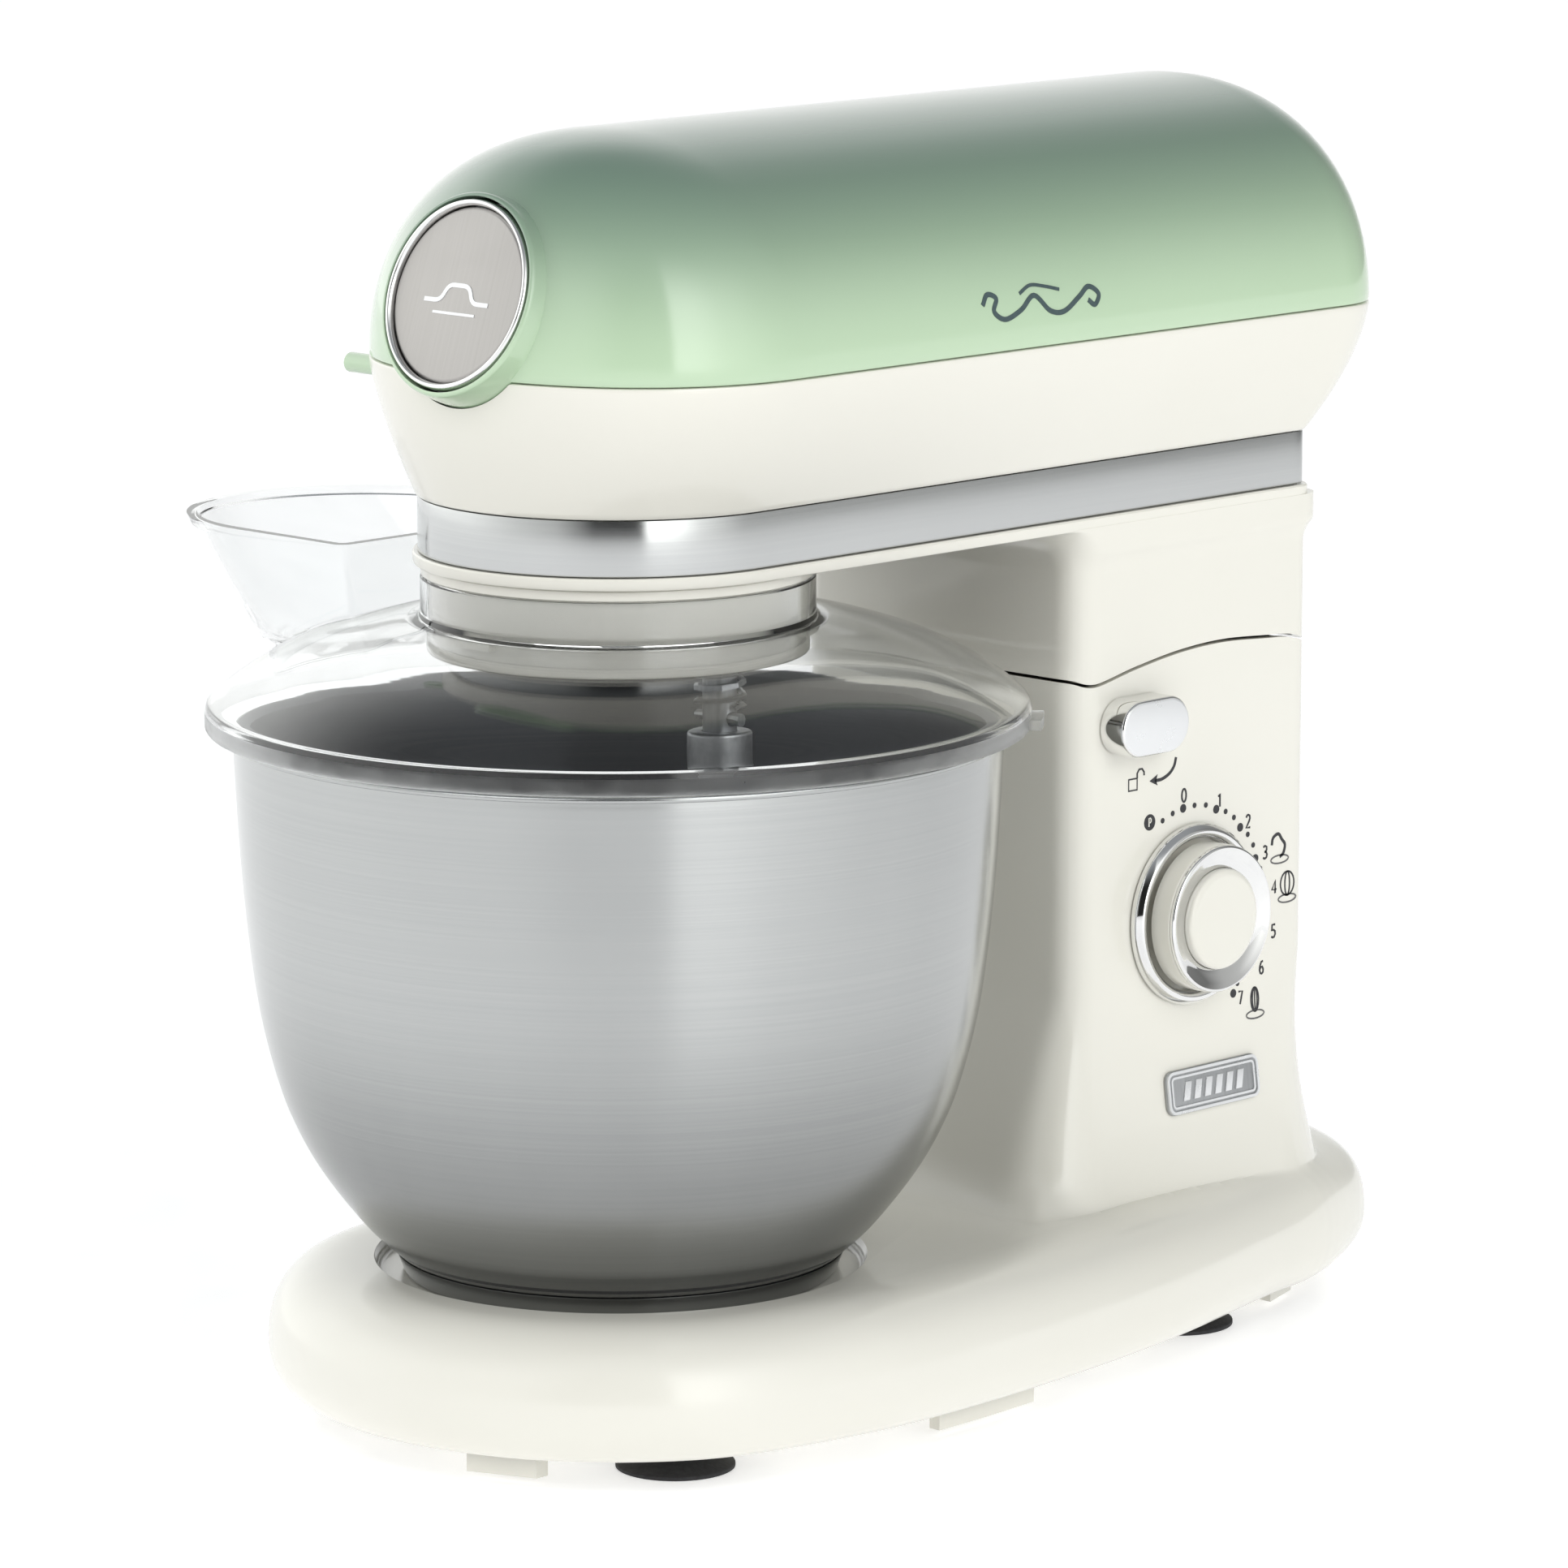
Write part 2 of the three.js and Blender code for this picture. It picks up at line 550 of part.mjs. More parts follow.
// ---------------------------------------------------------------- tilting head
function makeHeadShells(head) {
  const climbs = [0, 15, 30, 45, 59, 72, 83];
  const dome = cut(skin(climbs.map((climb) => coverRing(climb, 0))),
    skin([coverRing(0, SKIN).map((p) => new THREE.Vector3(p.x, p.y, SEAM_Z - 1)),
      ...climbs.map((climb) => coverRing(climb, SKIN))]));
  const boss = noseTurned(closed([
    [HUB_SOCKET_RADIUS, -18], [31.2, -18], [30.4, -6], [29.8, -0.8], [29.2, 0], [HUB_SOCKET_RADIUS, 0]]));
  const bore = noseTurned([[0, -60], [HUB_SOCKET_RADIUS, -60], [HUB_SOCKET_RADIUS, 20], [0, 20]]);
  put(head, 'head_cover', join(cut(dome, bore), boss), greenPlastic);

  const levels = [0, 0.2, 0.4, 0.6, 0.8, 1];
  const [low, high] = [BAND_TOP + GAP, SEAM_Z - GAP];
  const shellZ = (t) => low + t * (high - low);
  const rings = (inset) => levels.map((t) => shellRing(t, shellZ(t), inset));
  const inside = skin([shellRing(0, low - 1, WALL), ...rings(WALL), shellRing(1, high + 1, WALL)]);
  const swell = cut(skin(rings(0)), inside);
  const notch = noseTurned([[0, -18.4], [31.6, -18.4], [30.8, -6], [30.2, 0], [30.2, 20], [0, 20]]);
  put(head, 'head_side_shell', cut(swell, notch, bar('x', 3.4, -80, -40, -40, PEG_Z, 16)), creamPlastic);

  put(head, 'trim_band', cut(
    skin([BAND_BOTTOM + GAP, BAND_TOP].map((z) => bandRing(z, BAND_RADIUS))),
    skin([BAND_BOTTOM - 1, BAND_TOP + 1].map((z) => bandRing(z, BAND_RADIUS - 1.5)))), brushedSteel);
}

// The arm: a floor plate with a lip, a hollow neck that stands on the column, and two hinge lugs.
function makeArm(head) {
  const fillet = 14;
  const neckRing = (z, inset) => {
    const up = Math.max(0, z - (LIP_BOTTOM - fillet));
    const spread = fillet - Math.sqrt(Math.max(0, fillet ** 2 - up ** 2));
    const side = Math.min(1.6, spread);
    return roundedRing(
      COLUMN_HALF_WIDTH + side - inset, COLUMN_FRONT - spread + inset, COLUMN_REAR + 3 * side - inset,
      COLUMN_FRONT_RADIUS + 2 * side - inset, COLUMN_REAR_RADIUS + 2 * side - inset, z,
    );
  };
  const neck = cut(
    skin([195, 239, 244, 248, 251, LIP_BOTTOM, 254.5].map((z) => neckRing(z, 0))),
    skin([194, 239, 244, 248, 249.6].map((z) => neckRing(z, WALL))));
  const floor = skin([LIP_BOTTOM, BAND_BOTTOM].map((z) => bandRing(z, LIP_RADIUS)));
  const lugShape = outline([[213, 160], [217, 156.5], [227, 156.5], [231, 161], [231, 168], [228, 174],
    [202, 213], [202, 254.5], [184, 254.5], [184, 213]]);
  const lugs = join(slice(lugShape, 36, 39.5), slice(lugShape, -39.5, -36));
  const catchPlate = box(21, 29, 199, 203, 184, 254.5);
  const arm = cut(
    join(cut(neck, jointCutter(0.5, 150)), floor, lugs, catchPlate),
    bar('z', COLLAR_HOLE, 200, 300, 0, 0, 48),
    bar('x', HINGE_PIN_RADIUS + GAP, -50, 50, HINGE_Y, HINGE_Z));
  put(head, 'head_arm', arm, creamPlastic);
}

function makeGearbox(head) {
  const lugs = [30, 150, 270].map((turn) => lug(55, 58.4, 232.6, 234.6, turn, 14));
  const collar = turned(closed([
    [COLLAR_INNER, 226.5], [55.4, 226.5], [55.4, 249.8], [57.2, 249.8], [57.2, 252.7], [COLLAR_INNER, 252.7],
  ]));
  put(head, 'guard_collar', join(collar, ...lugs), creamPlastic);

  const ringTurn = TOOL_ANGLE + Math.PI / RING_TEETH;
  const teeth = skin([243, 258].map((z) => gearRing(RING_TEETH, PLANET_MODULE, z, ringTurn, -1)));
  put(head, 'ring_gear', cut(turned(discProfile(50, 244.4, 256.6)), teeth), machinedSteel);
  const housing = closed([
    [9.4, 257], [54.6, 257], [54.6, 261], [46, 261], [46, 282], [43, 282], [43, 261], [14, 261], [14, 270], [9.4, 270],
  ]);
  put(head, 'gearbox_housing', turned(housing), castAluminium);
  put(head, 'output_bearing', turned(ringProfile(6.3, 9.1, 258, 268), 24), machinedSteel);
  put(head, 'hub_socket', noseTurned(closed([[6, -22], [27.9, -22], [27.9, -4.5], [20.8, -4.5], [20.8, -18],
    [6, -18]])), castAluminium);
}

function makeMotor(head) {
  const bore = MOTOR_SHAFT_RADIUS + GAP;
  const onMotor = (outer, inner, from, to, segments) =>
    sleeve('y', outer, inner, from, to, MOTOR_X, MOTOR_Z, segments);
  put(head, 'motor_stator', onMotor(28, 17, 68, 132, 28), darkSteel);
  const plate = bar('y', 26, 58, 62, MOTOR_X, MOTOR_Z, 28);
  const leg = box(MOTOR_X - 19, MOTOR_X + 19, 58, 62, 257, 290);
  put(head, 'motor_mount', cut(join(plate, leg), bar('y', bore, 50, 70, MOTOR_X, MOTOR_Z)), castAluminium);
  put(head, 'brush_left', box(MOTOR_X - 23, MOTOR_X - 9.4, 141, 149, MOTOR_Z - 4, MOTOR_Z + 4), nylon);
  put(head, 'brush_right', box(MOTOR_X + 9.4, MOTOR_X + 23, 141, 149, MOTOR_Z - 4, MOTOR_Z + 4), nylon);
  put(head, 'rear_bearing', onMotor(9, bore, 170, 176), machinedSteel);

  const rotor = body('rotor');
  put(rotor, 'motor_shaft', bar('y', MOTOR_SHAFT_RADIUS, -16, 175.5, MOTOR_X, MOTOR_Z), machinedSteel);
  put(rotor, 'armature', onMotor(15.5, bore, 70, 130, 24), darkSteel);
  put(rotor, 'commutator', onMotor(9, bore, 138, 152, 24), copper);
  const blades = Array.from({ length: 8 }, (_, i) => {
    const geometry = new THREE.BoxGeometry(18, 8, 1.6);
    geometry.rotateX(0.6);
    geometry.translate(14, 162, 0);
    geometry.rotateY((i * Math.PI) / 4);
    geometry.translate(MOTOR_X, 0, MOTOR_Z);
    return solidOf(geometry);
  });
  const fanHub = bar('y', 7, 157.5, 166.5, MOTOR_X, MOTOR_Z, 16);
  put(rotor, 'cooling_fan', cut(join(fanHub, ...blades), bar('y', bore, 150, 170, MOTOR_X, MOTOR_Z)), nylon);
  const levels = 36;
  const length = (levels * Math.PI * WORM_MODULE) / WORM_STEPS;
  const thread = cut(worm(levels, 0.5), bar('z', bore, -1, length + 1, 0, 0));
  const screw = put(rotor, 'motor_worm', thread, machinedSteel);
  screw.rotation.x = -Math.PI / 2;
  screw.position.set(MOTOR_X, -length / 2, MOTOR_Z);
}

// ---------------------------------------------------------------- planetary drive and tool
function makeDrive() {
  const planetary = body('planetary');
  const bore = 6 + GAP;
  put(planetary, 'output_shaft', bar('z', 6, 229.5, 308, 0, 0), machinedSteel);
  const halfWidth = 3;
  const lean = (halfWidth * WORM_MODULE) / (2 * WORM_RADIUS * WHEEL_RADIUS); // as the worm's thread leans
  const space = Math.PI / WHEEL_TEETH; // a space, not a tooth, faces the worm
  const wheel = skin([-1, 1].map((side) =>
    gearRing(WHEEL_TEETH, WORM_MODULE, MOTOR_Z + side * halfWidth, space + side * lean)));
  put(planetary, 'worm_wheel', cut(wheel, bar('z', bore, 290, 310, 0, 0)), nylon);
  const carrier = turned(closed([[bore, 229], [50, 229], [50, 236], [12, 236], [12, 242], [bore, 242]]));
  put(planetary, 'planet_carrier', cut(carrier, bar('z', 5.4, 220, 240, TOOL_X, TOOL_Y)), castAluminium);

  const tool = body('tool');
  const atTool = (name, solid, look) => put(tool, name, solid, look).position.set(TOOL_X, TOOL_Y, 0);
  const shaft = turned([[0, 196], [5, 196], [5, 221], [12, 222], [12, 224], [5, 225], [5, 256], [0, 256]], 20);
  atTool('tool_shaft', cut(shaft, bar('x', 1.9, -8, 8, 0, 207.5, 10)), machinedSteel);
  const pinion = skin([245, 253].map((z) => gearRing(PINION_TEETH, PLANET_MODULE, z, TOOL_ANGLE)));
  atTool('planet_pinion', cut(pinion, bar('z', 5.3, 240, 260, 0, 0)), machinedSteel);
  atTool('drive_pin', bar('x', 1.6, -9, 9, 0, 207.5, 10), machinedSteel);
  const turns = 3;
  const perTurn = 9;
  const coil = Array.from({ length: turns * perTurn + 1 }, (_, i) => {
    const turn = (2 * Math.PI * i) / perTurn;
    return [7.2 * Math.cos(turn), 7.2 * Math.sin(turn), 211 + (9 * i) / (turns * perTurn)];
  });
  atTool('tool_spring', tube(coil, 0.8, turns * perTurn, 4), machinedSteel);
  const hub = turned([[0, 184], [9.5, 184], [9.5, 204], [5.3, 204], [5.3, 195.7], [0, 195.7]], 20);
  const hook = tube([
    [0, 0, 186], [0, 0, 172], [6, 2, 160], [24, 10, 142], [36, 22, 116], [28, 30, 88], [6, 28, 68],
    [-16, 14, 62], [-28, -6, 66],
  ], 5.5, 26);
  atTool('dough_hook', join(hub, hook), castAluminium);
}

// ---------------------------------------------------------------- bowl, guard and feed chute
function makeBowl() {
  const bowl = body('bowl');
  const wall = [
    [66, 50], [82.8, 68], [89.7, 78], [95, 88], [99.5, 99.5], [104.2, 117.5], [107.3, 137], [110, 165],
    [111.9, 202.4],
  ];
  const inner = wall.slice(1).map(([r, z]) => [r - BOWL_WALL, z]).reverse();
  const rim = [[113.4, 202.4], [BOWL_RIM_RADIUS, 203.3], [113.4, BOWL_RIM_TOP], [110.8, BOWL_RIM_TOP]];
  const floor = [[63, 50 + BOWL_WALL], [0, 50 + BOWL_WALL]];
  put(bowl, 'mixing_bowl', turned([[0, 50], ...wall, ...rim, ...inner, ...floor], 40), brushedSteel);
  const lugs = [0, 120, 240].map((turn) => lug(58.8, 62.6, 44, 45.6, turn, 20));
  const foot = turned(closed([[61.5, 43.4], [63.6, 43.4], [FOOT_RING_RADIUS, 49.6], [63.8, 49.6]]));
  put(bowl, 'bowl_foot', join(foot, ...lugs), brushedSteel);
}

// Height of the guard's outer surface at a radius.
function domeHeight(radius) {
  const after = guardDome.findIndex(([r]) => r <= radius);
  const [r0, z0] = guardDome[Math.max(0, after - 1)];
  const [r1, z1] = guardDome[after];
  return r0 === r1 ? z1 : z0 + ((z1 - z0) * (r0 - radius)) / (r0 - r1);
}

// The chute's plan: a straight wall beside the head, straight ends and a rounded outer end.
function chuteRing({ innerX, roundX, reach, half, inset, height }, steps = 12) {
  const corner = (x, y) => new THREE.Vector3(x, y, height(Math.hypot(x, y)));
  const round = Array.from({ length: steps + 1 }, (_, i) => {
    const turn = Math.PI * (0.5 + i / steps);
    const y = CHUTE_MIDDLE_Y + (half - inset) * Math.sin(turn);
    return corner(roundX + (reach - inset) * Math.cos(turn), y);
  });
  const [near, far] = [CHUTE_MIDDLE_Y - half + inset, CHUTE_MIDDLE_Y + half - inset];
  const wall = [0, 1, 2, 3].map((i) => corner(innerX - inset, near + ((far - near) * i) / 3));
  return [...wall, ...round];
}

function makeGuard() {
  const top = { innerX: CHUTE_INNER_X, roundX: -116, reach: 52, half: CHUTE_HALF_LENGTH };
  const bottom = { innerX: CHUTE_INNER_X, roundX: -80, reach: 30, half: 46 };
  const at = (place, inset, height) => chuteRing({ ...place, inset, height });
  const rim = () => CHUTE_TOP;
  const onDome = (r) => domeHeight(r) - 1;

  const guard = body('guard');
  const under = guardDome.map(([r, z]) => [r - 0.6, z - GUARD_WALL]).slice(1).reverse();
  const profile = [[GUARD_RADIUS, GUARD_BOTTOM], ...guardDome, [NECK_RADIUS, 238.4], [NECK_RADIUS, GUARD_TOP],
    [NECK_RADIUS - 1.6, GUARD_TOP], [NECK_RADIUS - 1.6, 235.2], ...under,
    [GUARD_RADIUS - GUARD_WALL, 209], [GUARD_RADIUS - GUARD_WALL, GUARD_BOTTOM]];
  const hole = skin([at(bottom, 5, () => 190), at(bottom, 5, () => 260)]);
  const rimLug = lug(119.4, 123.5, 206, 209, 40, 8);
  put(guard, 'splash_guard', join(cut(turned(closed(profile), 44), hole), rimLug), clearPlastic);

  const chute = body('chute');
  const shell = cut(skin([at(bottom, 0, onDome), at(top, 0, rim)]),
    skin([at(bottom, CHUTE_WALL, () => 200), at(bottom, CHUTE_WALL, onDome), at(top, CHUTE_WALL, rim),
      at(top, CHUTE_WALL, () => CHUTE_TOP + 5)]));
  const raised = guardDome.map(([r, z]) => [r + GAP, z + GAP]);
  const seat = turned([[0, 190], [GUARD_RADIUS + GAP, 190], ...raised, [0, raised.at(-1)[1]]], 44);
  put(chute, 'feed_chute', cut(shell, seat), clearPlastic);
}

// ---------------------------------------------------------------- controls
function makeControls() {
  const knob = body('knob');
  const onDial = (name, profile, look) => put(knob, name, sideTurned(profile, KNOB_Y, KNOB_Z), look);
  onDial('knob_body', [
    [0, 62], [22.7, 62], [22.7, 69], [22, 70.4], [21, 70.8], [21, 69], [11, 68], [0, 68],
  ], creamPlastic);
  onDial('knob_ring', closed([[15.6, 68.8], [20.7, 69.4], [20.7, 70.9], [20, 70.9], [15.6, 69.4]]), chrome);
  onDial('knob_cap', [[0, 68.8], [15.3, 68.8], [15.3, 70.6], [14.2, 71.6], [0, 72.2]], creamPlastic);
  put(knob, 'knob_shaft', bar('x', 3, 44, 61.7, KNOB_Y, KNOB_Z, 12), machinedSteel);

  const lever = body('lever');
  const stadium = new THREE.Shape();
  stadium.absarc(LEVER_Y, LEVER_Z, LEVER_RADIUS, Math.PI / 2, 1.5 * Math.PI, false);
  stadium.absarc(LEVER_Y + LEVER_LENGTH, LEVER_Z, LEVER_RADIUS, -Math.PI / 2, Math.PI / 2, false);
  put(lever, 'lock_lever', slice(stadium, COLUMN_HALF_WIDTH + 0.4, LEVER_FACE, 6), chrome);
  put(lever, 'lever_shaft', bar('x', 4.2, 19, 58, LEVER_Y, LEVER_Z, 16), machinedSteel);
  put(lever, 'latch_cam', sleeve('x', 8, 4.5, 21, 29, LEVER_Y, LEVER_Z, 16), nylon);
  put(body('latch'), 'latch_bolt', box(21, 29, 167, 196, 188, 196), machinedSteel);

  const peg = join(bar('x', 3, -70, -46, -40, PEG_Z, 16), bar('x', 5, -49, -46, -40, PEG_Z, 16));
  put(body('release'), 'release_peg', peg, greenPlastic);

  const hub = body('hub_cover');
  const disc = [[0, -9], [20, -9], [20, -3], [25.5, -3], [25.5, -1.4], [24.6, -0.8], [0, -0.8]];
  const ring = closed([[25.8, -3.6], [27.7, -3.6], [27.7, -0.6], [27.2, 0.7], [26.4, 0.7], [25.8, -0.4]]);
  put(hub, 'hub_cover_disc', noseTurned(disc), satinMetal);
  put(hub, 'hub_cover_ring', noseTurned(ring), chrome);
}

makeBase();
const head = body('head');
makeHeadShells(head);
makeArm(head);
makeGearbox(head);
makeMotor(head);
makeDrive();
makeBowl();
makeGuard();
makeControls();

mixer.position.set(-ORIGIN_X, -ORIGIN_Y, 0);
export default mixer;
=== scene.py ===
"""The looks of a tilt-head stand mixer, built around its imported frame."""
from math import asin, atan, copysign, cos, hypot, pi, radians, sin, sqrt

import bpy
import numpy as np
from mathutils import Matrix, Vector


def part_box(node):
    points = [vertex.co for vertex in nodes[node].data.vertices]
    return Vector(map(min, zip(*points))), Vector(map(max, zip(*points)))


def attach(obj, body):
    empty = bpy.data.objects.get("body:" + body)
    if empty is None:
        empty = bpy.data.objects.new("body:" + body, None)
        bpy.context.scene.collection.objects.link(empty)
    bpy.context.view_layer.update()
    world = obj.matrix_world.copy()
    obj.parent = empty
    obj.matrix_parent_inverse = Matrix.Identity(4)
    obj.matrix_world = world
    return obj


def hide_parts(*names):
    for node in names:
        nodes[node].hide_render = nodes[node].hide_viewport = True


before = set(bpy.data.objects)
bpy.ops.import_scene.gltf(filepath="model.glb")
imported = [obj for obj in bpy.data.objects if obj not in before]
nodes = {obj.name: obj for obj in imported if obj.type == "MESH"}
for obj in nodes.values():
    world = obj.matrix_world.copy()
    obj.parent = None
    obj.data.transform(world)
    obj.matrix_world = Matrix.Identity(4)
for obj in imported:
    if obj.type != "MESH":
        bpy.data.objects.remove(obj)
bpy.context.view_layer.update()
scene = bpy.context.scene

# ---- places from the frame
# Shapes are worked out in millimetres from the bowl's axis, with heights over the table.
MM = 0.001


def middle(node):
    low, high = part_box(node)
    return (low + high) / 2 / MM


BOWL_AXIS = middle("output_shaft")


def place(x, y, z):
    """A point given from the bowl's axis, in metres in the frame."""
    return Vector((x + BOWL_AXIS.x, y + BOWL_AXIS.y, z)) * MM


AXIS_SHIFT = Vector((BOWL_AXIS.x, BOWL_AXIS.y, 0))


def span(node):
    """A node's lowest and highest corners, in millimetres from the bowl's axis."""
    low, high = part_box(node)
    return low / MM - AXIS_SHIFT, high / MM - AXIS_SHIFT


shell_low, shell_high = span("head_side_shell")
band_low, band_high = span("trim_band")
knob_low, knob_high = span("knob_body")
lever_low, lever_high = span("lock_lever")
badge_low, badge_high = span("side_badge")
pin_low, pin_high = span("hinge_pin")

DIAL_Y = (knob_low.y + knob_high.y) / 2
DIAL_Z = (knob_low.z + knob_high.z) / 2
HINGE_Y = (pin_low.y + pin_high.y) / 2
HINGE_Z = (pin_low.z + pin_high.z) / 2
HINGE_RADIUS = 46
BADGE_Y = (badge_low.y + badge_high.y) / 2
BADGE_Z = (badge_low.z + badge_high.z) / 2
LEVER_Y, LEVER_Z = 152.6, 192.0
PEG_Y, PEG_Z = -40, 308
NOSE_TILT = radians(18.6)
NOSE_Y, NOSE_Z = -63.3, 335.8
COLUMN_SIDE, COLUMN_FRONT, COLUMN_REAR = 57.9, 134, 240
WALL = 3.0
SEAM_Z = shell_high.z + 0.3
HEAD_TOP = span("head_cover")[1].z

# ---- node materials


class Nodes:
    """A small wrapper for building the nodes of a material or the world."""

    def __init__(self, owner, shader):
        owner.use_nodes = True
        self.tree = owner.node_tree
        self.shader = self.tree.nodes[shader]

    def put(self, value, socket):
        """Gives a socket a plain value, or links another node's output to it."""
        if isinstance(value, bpy.types.NodeSocket):
            self.tree.links.new(value, socket)
        else:
            socket.default_value = value

    def add(self, kind, inputs, **settings):
        node = self.tree.nodes.new(kind)
        for key, value in settings.items():
            setattr(node, key, value)
        for key, value in inputs.items():
            self.put(value, node.inputs[key])
        return node

    def set(self, **values):
        for key, value in values.items():
            self.put(value, self.shader.inputs[key.replace("_", " ")])

    def math(self, operation, *values):
        return self.add("ShaderNodeMath", dict(enumerate(values)), operation=operation).outputs[0]

    def ramp(self, factor, low, high, low_at=0.3, high_at=0.7):
        node = self.add("ShaderNodeValToRGB", {"Fac": factor})
        stops = node.color_ramp.elements
        stops[0].position, stops[1].position = low_at, high_at
        stops[0].color, stops[1].color = (*low, 1), (*high, 1)
        return node.outputs["Color"]

    def rise(self, vector, heights, low, high):
        """One colour below the first height, another over the second, and a smooth change between."""
        parts = self.add("ShaderNodeSeparateXYZ", {"Vector": vector})
        share = self.add("ShaderNodeMapRange", {"Value": parts.outputs["Z"], "From Min": heights[0],
                                                "From Max": heights[1]}, interpolation_type="SMOOTHSTEP")
        blend = self.add("ShaderNodeMix", {"Factor": share.outputs["Result"], "A": low, "B": high},
                         data_type="RGBA")
        return blend.outputs["Result"]


class Surface(Nodes):
    """A material's nodes."""

    def __init__(self, name):
        self.material = bpy.data.materials.new(name)
        super().__init__(self.material, "Principled BSDF")
        self.everywhere = self.place_in((1, 1, 1))

    def place_in(self, stretch):
        """Object coordinates stretched by a factor on each axis."""
        coords = self.add("ShaderNodeTexCoord", {})
        mapping = self.add("ShaderNodeMapping", {"Vector": coords.outputs["Object"], "Scale": stretch})
        return mapping.outputs["Vector"]

    def noise(self, vector, scale, detail=3.0, roughness=0.55):
        inputs = {"Vector": vector, "Scale": scale, "Detail": detail, "Roughness": roughness}
        return self.add("ShaderNodeTexNoise", inputs).outputs["Fac"]

    def between(self, factor, low, high):
        node = self.add("ShaderNodeMapRange", {"Value": factor, "To Min": low, "To Max": high})
        return node.outputs["Result"]

    def shaded(self, colour, share):
        node = self.add("ShaderNodeVectorMath", {0: colour, "Scale": share}, operation="SCALE")
        return node.outputs["Vector"]

    def bump(self, height, strength, distance):
        node = self.add("ShaderNodeBump", {"Height": height, "Strength": strength, "Distance": distance})
        self.set(Normal=node.outputs["Normal"])


def moulded_plastic(name, low, high, roughness, coat, painted_dark_top=None, painted_dark_heights=None):
    """Glossy moulding with faint cloudy colour and orange peel. It may darken towards the top, a painted
    shade that stands in for a dark reflection overhead.
    """
    m = Surface(name)
    cloud = m.noise(m.everywhere, 9, 2)
    colour = m.ramp(cloud, low, high)
    # Painted shade: the colour darkens between two heights towards the top.
    if painted_dark_top:
        colour = m.rise(m.everywhere, painted_dark_heights, colour, m.ramp(cloud, painted_dark_top, painted_dark_top))
    m.set(Base_Color=colour,
          Roughness=m.between(m.noise(m.everywhere, 60), roughness * 0.85, roughness * 1.15))
    m.bump(m.noise(m.everywhere, 220, 1), 0.012, 0.0004)
    m.set(Coat_Weight=coat, Coat_Roughness=0.04, IOR=1.5)
    return m.material


def brushed_metal(name, stretch, low, high, roughness, anisotropy, strength, tangent_axis=None, foot=None):
    """Metal brushed by noise squeezed across the marks. Between two heights it may darken towards its foot, a
    painted shade.
    """
    m = Surface(name)
    fine = m.noise(m.place_in(stretch), 1.0, 4, 0.7)
    broad = m.noise(m.everywhere, 14, 2)
    colour = m.ramp(fine, low, high, 0.25, 0.75)
    # Painted shade: the colour darkens below the given heights.
    if foot:
        colour = m.rise(m.everywhere, foot, m.shaded(colour, PAINTED_SHADE_AT_FOOT), colour)
    marks = m.math("MULTIPLY_ADD", fine, 0.7, broad)
    m.set(Base_Color=colour, Roughness=m.between(marks, roughness * 0.6, roughness * 1.15))
    m.bump(fine, strength, 0.0002)
    m.set(Metallic=1.0, Anisotropic=anisotropy, Anisotropic_Rotation=0.25)
    if tangent_axis:
        tangent = m.add("ShaderNodeTangent", {}, direction_type="RADIAL", axis=tangent_axis)
        m.set(Tangent=tangent.outputs["Tangent"])
    return m.material


def polished_metal(name, low, high, roughness, metallic=1.0):
    m = Surface(name)
    m.set(Base_Color=m.ramp(m.noise(m.everywhere, 30), low, high),
          Roughness=m.between(m.noise(m.everywhere, 120, 4), roughness * 0.6, roughness * 1.4))
    m.bump(m.noise(m.everywhere, 500, 1), 0.003, 0.0002)
    m.set(Metallic=metallic)
    return m.material


def rough_solid(name, low, high, roughness, grain, metallic, strength):
    """Rubber, cast metal, nylon: a grained surface with mottled colour."""
    m = Surface(name)
    grains = m.noise(m.everywhere, grain, 5)
    m.set(Base_Color=m.ramp(grains, low, high),
          Roughness=m.between(grains, roughness * 0.85, roughness * 1.1))
    m.bump(grains, strength, 0.0004)
    m.set(Metallic=metallic)
    return m.material


def clear_plastic(name, roughness):
    """Clear moulding whose gloss is broken up by faint flow marks."""
    m = Surface(name)
    flow = m.noise(m.everywhere, 18, 2)
    m.set(Base_Color=m.ramp(flow, (0.955, 0.965, 0.965), (0.99, 0.995, 0.995)),
          Roughness=m.between(m.noise(m.everywhere, 90), roughness * 0.3, roughness * 1.7))
    m.bump(flow, 0.02, 0.0005)
    m.set(Transmission_Weight=1.0, IOR=1.46)
    return m.material


def printed_ink(name, low, high):
    m = Surface(name)
    m.set(Base_Color=m.ramp(m.noise(m.everywhere, 900, 2), low, high),
          Roughness=m.between(m.noise(m.everywhere, 300), 0.4, 0.55))
    return m.material


# Painted shade on the bowl: its steel darkens to half between these heights, towards the foot.
PAINTED_SHADE_AT_FOOT = 0.5
PAINTED_SHADE_HEIGHTS = (0.065, 0.150)


def steel_round_axis(name, low, high, roughness, anisotropy, strength, foot=None):
    """Steel brushed round the bowl's axis."""
    return brushed_metal(name, (3, 3, 1500), low, high, roughness, anisotropy, strength, "Z", foot)


cream = moulded_plastic("cream_plastic", (0.80, 0.785, 0.71), (0.82, 0.805, 0.735), 0.22, 0.5)
# The green darkens from the head's seam up to its top: painted shade and painted dark reflection.
green = moulded_plastic("green_plastic", (0.50, 0.66, 0.455), (0.515, 0.675, 0.47), 0.16, 0.8,
                        (0.13, 0.21, 0.16), (SEAM_Z * MM, HEAD_TOP * MM))
# The bowl's outside darkens towards its foot: painted shade.
bowl_steel = steel_round_axis("bowl_steel", (0.46, 0.47, 0.47), (0.51, 0.52, 0.515), 0.20, 0.9, 0.012,
                              PAINTED_SHADE_HEIGHTS)
